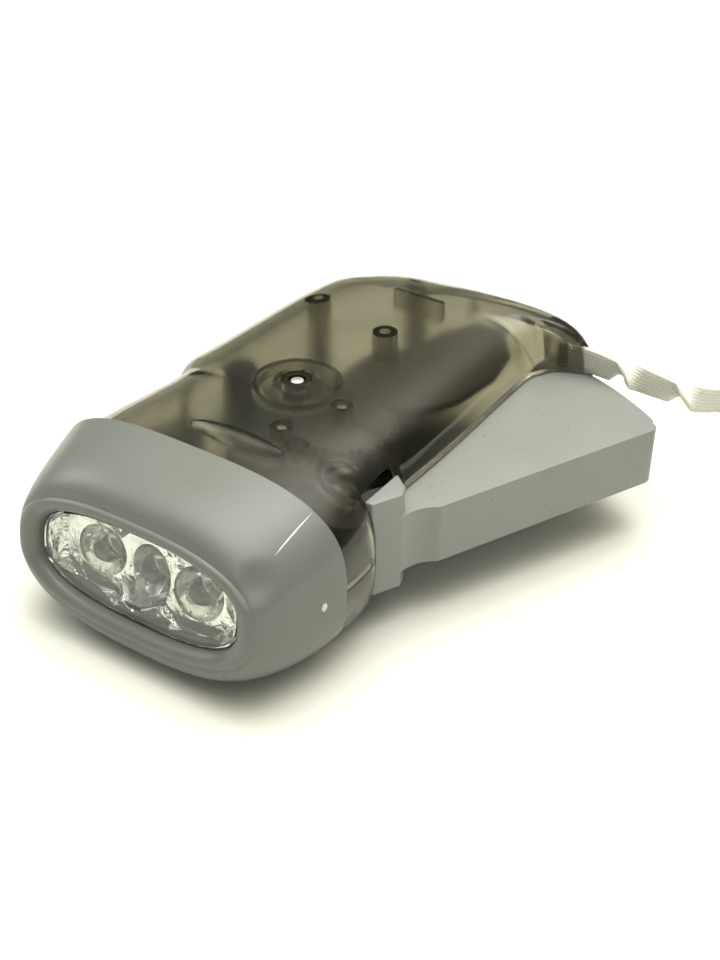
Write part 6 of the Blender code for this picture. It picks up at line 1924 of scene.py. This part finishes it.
def lever_rear(inset):
    """The rear end of the grip, from its outer corner round to its inner edge."""
    lever = bpy.context.scene.torch_lever
    points = []
    for share in shares(24):
        angle = LEVER_CORNER_ANGLE + (LEVER_REAR_ANGLE - LEVER_CORNER_ANGLE) * share
        reach = lever.corner_reach + (lever.rear_reach - lever.corner_reach) * share - inset
        points.append((PIVOT_X + reach * cos(angle), PIVOT_Y + reach * sin(angle)))
    return points


def lever_hollow():
    lever = bpy.context.scene.torch_lever
    wall = lever.wall
    corner = lever_rear(0.0)[0]
    angle = atan2(corner[1] - LEVER_FRONT[1], corner[0] - LEVER_FRONT[0])

    def side_x(y):
        return LEVER_FRONT[0] + (y - LEVER_FRONT[1]) / tan(angle) - wall / sin(angle)

    start_y = LEVER_HOLLOW_Y + wall
    rear = lever_rear(wall)
    corner_y = rear[0][1] - wall / 2
    points = [(LEVER_INNER_X - OVERRUN, start_y), (side_x(start_y), start_y), (side_x(corner_y), corner_y)]
    points += rear[1:]
    points.append((LEVER_INNER_X - OVERRUN, rear[-1][1]))
    return points


def involute(angle):
    return tan(angle) - angle


def tooth_points(centre, module, teeth, bearing):
    """One tooth with involute flanks."""
    pitch_radius = module * teeth / 2
    base_radius = pitch_radius * cos(PRESSURE_ANGLE)
    foot = pitch_radius - TOOTH_FOOT * module
    tip = pitch_radius + TOOTH_HEAD * module
    sides = []
    for index in range(7):
        radius = foot + (tip - foot) * index / 6
        half = TOOTH_THICKNESS * pi / teeth + involute(PRESSURE_ANGLE)
        if radius > base_radius:
            half -= involute(acos(base_radius / radius))
        sides.append((radius, half))
    points = [(radius, -half) for radius, half in sides] + list(reversed(sides))
    return [(centre[0] + r * cos(bearing + a), centre[1] + r * sin(bearing + a)) for r, a in points]


def sector_outline():
    """The toothed sector on the hub, facing the first gear."""
    lever = bpy.context.scene.torch_lever
    first, second = gear_places()
    bearing = atan2(first[1] - PIVOT_Y, first[0] - PIVOT_X)
    teeth = lever.sector_teeth
    pitch = 2 * pi / teeth
    points = []
    for tooth in range(-2, 4):
        points += tooth_points(PIVOT_PLACE, lever.tooth_module, teeth, bearing - pitch * tooth)[::-1]
    start = bearing - pitch * 3.5
    end = bearing + pitch * 2.5
    root = lever.tooth_module * (teeth / 2 - TOOTH_FOOT)
    points.append((PIVOT_X + root * cos(start), PIVOT_Y + root * sin(start)))
    points += arc_points(PIVOT_PLACE, lever.hub_radius - lever.wall, start, end, 16)
    points.append((PIVOT_X + root * cos(end), PIVOT_Y + root * sin(end)))
    return points


def paint_hub_shade(piece):
    """Paints the hub, its sector and what lies inside the shell black: painted shade on the grey lever."""
    shade_back_y = HUB_SHADE_Y - ORIGIN_Y
    front_y = BLOCK_FRONT[1] - GAP - ORIGIN_Y
    across = ((HUB_SHADE_X, 0, 0), (1, 0, 0))
    behind = ((0, shade_back_y, 0), (0, 1, 0))
    ahead = ((0, front_y, 0), (0, 1, 0))
    bm = bmesh.new()
    bm.from_mesh(piece.data)
    for place, axis in (across, behind, ahead):
        everything = list(bm.verts) + list(bm.edges) + list(bm.faces)
        bmesh.ops.bisect_plane(bm, geom=everything, dist=WELD / 10, plane_co=place, plane_no=axis)
    for face in bm.faces:
        centre = face.calc_center_median()
        beside = centre.x < HUB_SHADE_X or centre.y < front_y
        face.material_index = 1 if beside and centre.y < shade_back_y else 0
    bm.to_mesh(piece.data)
    bm.free()
    piece.data.materials.append(shared(black_acetal))


class TORCH_OT_lever(Operator):
    """Builds the squeeze lever: hollow grip, pivot block, hub and toothed sector, with the hub and inner
    part painted black as shade
    """
    bl_idname = "torch.lever"
    bl_label = "Lever"

    def execute(self, context):
        lever = context.scene.torch_lever
        half = lever.half_height
        piece = prism("squeeze_grip", lever_outline(), MIDPLANE - half, MIDPLANE + half)
        piece.data.materials.append(shared(satin_moulded_abs))
        round_edges(piece, lever.edge_radius, 4, 0.7)
        corners = [
            (BLOCK_INNER_X, BLOCK_FRONT[1]), BLOCK_FRONT, BLOCK_SIDE,
            BLOCK_BACK, BLOCK_REAR, (BLOCK_INNER_X, BLOCK_REAR[1]),
        ]
        block = prism("block", corners, *BLOCK_SPAN)
        round_edges(block, lever.block_edge, 3, 0.5)
        hollow = prism("hollow", lever_hollow(), MIDPLANE - half + lever.wall, MIDPLANE + half - lever.wall)
        tools = [
            (hollow, "DIFFERENCE"),
            (block, "UNION"),
            (prism("hub", circle_points(PIVOT_PLACE, lever.hub_radius, 64), *HUB_SPAN), "UNION"),
            (prism("sector", sector_outline(), *SECTOR_SPAN), "UNION"),
            (prism("bore", circle_points(PIVOT_PLACE, HUB_BORE_RADIUS, 40), *HUB_BORE_SPAN), "DIFFERENCE"),
            (prism("pocket", circle_points(PIVOT_PLACE, POCKET_RADIUS, 40), *POCKET_SPAN), "DIFFERENCE"),
        ]
        shape_with(piece, tools)
        paint_hub_shade(piece)
        show(piece, "grey_abs", "squeeze_lever", body="lever")
        return {"FINISHED"}


def strap_stations():
    """Centres of the strap and its turn, on a smooth curve through the route's marks."""
    trim = bpy.context.scene.torch_trim
    marks = []
    for share_x, share_y, share_z, turns in STRAP_ROUTE_SHARES:
        offset = Vector((share_x * trim.strap_reach, share_y * trim.strap_reach, share_z * trim.strap_drop))
        marks.append((STRAP_START + offset, pi * turns / 2))
    last = len(marks) - 1
    stations = []
    for index in range(last):
        before, (start, turn) = marks[max(index - 1, 0)][0], marks[index]
        (end, next_turn), after = marks[index + 1], marks[min(index + 2, last)][0]
        for step in range(STRAP_BENDS):
            share = step / STRAP_BENDS
            centre = curve_between(before, start, end, after, share)
            stations.append((centre, turn + (next_turn - turn) * share))
    stations.append(marks[last])
    return stations


def strap_frames():
    """Each station of the strap with its wide and thin directions."""
    stations = strap_stations()
    frames = []
    for index, (centre, turn) in enumerate(stations):
        before = stations[max(index - 1, 0)][0]
        after = stations[min(index + 1, len(stations) - 1)][0]
        forward = (after - before).normalized()
        aside = forward.cross(Vector((0, 0, 1))).normalized()
        upward = aside.cross(forward).normalized()
        wide = upward * cos(turn) + aside * sin(turn)
        thin = aside * cos(turn) - upward * sin(turn)
        frames.append((centre, wide, thin, forward))
    return frames


def strap_section():
    """Section of the tape as shares of its half width and half thickness, with rounded selvedges."""
    edge = 0.06
    side = ((1.0, 0.0), (1.0 - edge / 3, 0.75), (1.0 - edge, 1.0), (0.5, 0.96))
    upper = [*side, (0.0, 0.96), *((-across, up) for across, up in reversed(side))]
    return [(-across, -up) for across, up in upper[:-1]] + upper[:-1]


class TORCH_OT_strap(Operator):
    """Builds the wrist strap along its route"""
    bl_idname = "torch.strap"
    bl_label = "Wrist strap"

    def execute(self, context):
        trim = context.scene.torch_trim
        frames = strap_frames()
        section = strap_section()
        bm = bmesh.new()
        rings = []
        for centre, wide, thin, forward in frames:
            half_wide = wide * trim.strap_width / 2
            half_thin = thin * trim.strap_thickness / 2
            rings.append([centre + half_wide * across + half_thin * up for across, up in section])
        bridge_rings(bm, rings, False)
        bmesh.ops.recalc_face_normals(bm, faces=bm.faces)
        lay = bm.loops.layers.uv.new("tape")
        runs = [0.0]
        for first, second in zip(frames, frames[1:]):
            runs.append(runs[-1] + (second[0] - first[0]).length * 1000)
        bm.verts.index_update()
        for face in bm.faces:
            for loop in face.loops:
                ring, place = divmod(loop.vert.index, len(section))
                loop[lay].uv = (runs[ring], section[place][0] * trim.strap_width * 500)
        bmesh.ops.translate(bm, verts=bm.verts, vec=(0, -ORIGIN_Y, 0))
        mesh = bpy.data.meshes.new("woven_wrist_strap")
        bm.to_mesh(mesh)
        bm.free()
        strap = put_in_scene("woven_wrist_strap", mesh, [shared(woven_nylon_tape)], 1.2)
        show(strap, "woven_nylon", "wrist_strap")
        return {"FINISHED"}


class TORCH_OT_stage(Operator):
    """Adds the floor, the soft dome of light and the camera at the viewing angle"""
    bl_idname = "torch.stage"
    bl_label = "Stage"

    def execute(self, context):
        add_camera(context)
        add_floor(context)
        add_lights(context)
        return {"FINISHED"}


def add_camera(context):
    data = bpy.data.cameras.new("viewing_camera")
    data.lens = CAMERA_LENS
    data.sensor_fit = "VERTICAL"
    data.sensor_height = 36.0
    camera = bpy.data.objects.new("viewing_camera", data)
    bearing = radians(CAMERA_BEARING)
    rise = radians(CAMERA_RISE)
    roll = radians(CAMERA_ROLL)
    right = Vector((cos(bearing), sin(bearing), 0))
    back = Vector((sin(bearing) * cos(rise), -cos(bearing) * cos(rise), sin(rise)))
    upward = back.cross(right)
    turned_right = right * cos(roll) + upward * sin(roll)
    turned_up = upward * cos(roll) - right * sin(roll)
    turn = Matrix((turned_right, turned_up, back)).transposed().to_4x4()
    camera.matrix_world = Matrix.Translation(CAMERA_PLACE) @ turn
    context.scene.collection.objects.link(camera)
    context.scene.camera = camera


def add_floor(context):
    """A large flat sheet of white paper."""
    bm = bmesh.new()
    bmesh.ops.create_grid(bm, x_segments=1, y_segments=1, size=FLOOR_HALF_WIDTH)
    finished("paper_floor", bm, [shared(white_paper)])


def add_softbox(context, name, place, width, power):
    softbox = bpy.data.lights.new(name, "AREA")
    softbox.size = width
    softbox.energy = power
    light = bpy.data.objects.new(name, softbox)
    turn = (-place).to_track_quat("-Z", "Y").to_matrix().to_4x4()
    light.matrix_world = Matrix.Translation(place) @ turn
    context.scene.collection.objects.link(light)


def add_lights(context):
    """A soft dome: bright above, where the light comes from, and dim towards the studio walls."""
    looks = context.scene.torch_finishes
    world = bpy.data.worlds.new("studio_dome")
    world.use_nodes = True
    tree = world.node_tree

    def reckon(operation, *values):
        return add_node(tree, "ShaderNodeMath", dict(enumerate(values)), operation=operation).outputs[0]

    direction = add_node(tree, "ShaderNodeTexCoord").outputs["Generated"]
    facing = add_node(tree, "ShaderNodeVectorMath", {0: direction, 1: DOME_AIM}, operation="DOT_PRODUCT")
    above = reckon("MAXIMUM", facing.outputs["Value"], 0.0)
    glow = reckon("POWER", above, looks.overhead_focus)
    strength = reckon("MULTIPLY_ADD", glow, looks.overhead, looks.walls)
    tints = {0: glow, 6: looks.walls_tint, 7: looks.overhead_tint}
    tint = add_node(tree, "ShaderNodeMix", tints, data_type="RGBA")
    surround = tree.nodes["Background"]
    tree.links.new(tint.outputs[2], surround.inputs["Color"])
    tree.links.new(strength, surround.inputs["Strength"])
    context.scene.world = world
    add_softbox(context, "side_softbox", SIDE_LIGHT_PLACE, SIDE_LIGHT_WIDTH, looks.side_power)
    add_softbox(context, "front_softbox", FRONT_LIGHT_PLACE, FRONT_LIGHT_WIDTH, looks.front_power)
    context.scene.view_settings.view_transform = "Standard"


class TORCH_PT_panel(Panel):
    """Lists the torch's pieces in the order that they are built"""
    bl_idname = "TORCH_PT_panel"
    bl_label = "Torch"
    bl_space_type = "VIEW_3D"
    bl_region_type = "UI"
    bl_category = "Torch"

    def draw(self, context):
        for piece in PIECES:
            self.layout.operator(piece.bl_idname)


GROUPS = {
    "torch_head": TorchHeadSizes,
    "torch_shell": TorchShellSizes,
    "torch_lever": TorchLeverSizes,
    "torch_trim": TorchTrimSizes,
    "torch_finishes": TorchFinishes,
}
PIECES = (
    TORCH_OT_stage,
    TORCH_OT_strap,
    TORCH_OT_head,
    TORCH_OT_window,
    TORCH_OT_reflector,
    TORCH_OT_lamps,
    TORCH_OT_upper_shell,
    TORCH_OT_lower_shell,
    TORCH_OT_lever,
    TORCH_OT_gears,
    TORCH_OT_black_plates,
    TORCH_OT_rotor,
    TORCH_OT_generator,
    TORCH_OT_screws,
    TORCH_OT_electronics,
    TORCH_OT_switch,
    TORCH_OT_stitches,
)


def register():
    for name, group in GROUPS.items():
        bpy.utils.register_class(group)
        setattr(bpy.types.Scene, name, PointerProperty(type=group))
    for kind in (*PIECES, TORCH_PT_panel):
        bpy.utils.register_class(kind)


def unregister():
    for kind in (TORCH_PT_panel, *reversed(PIECES)):
        bpy.utils.unregister_class(kind)
    for name, group in reversed(GROUPS.items()):
        delattr(bpy.types.Scene, name)
        bpy.utils.unregister_class(group)


def main():
    register()
    for piece in PIECES:
        family, call = piece.bl_idname.split(".")
        getattr(getattr(bpy.ops, family), call)()


if __name__ == "__main__":
    main()
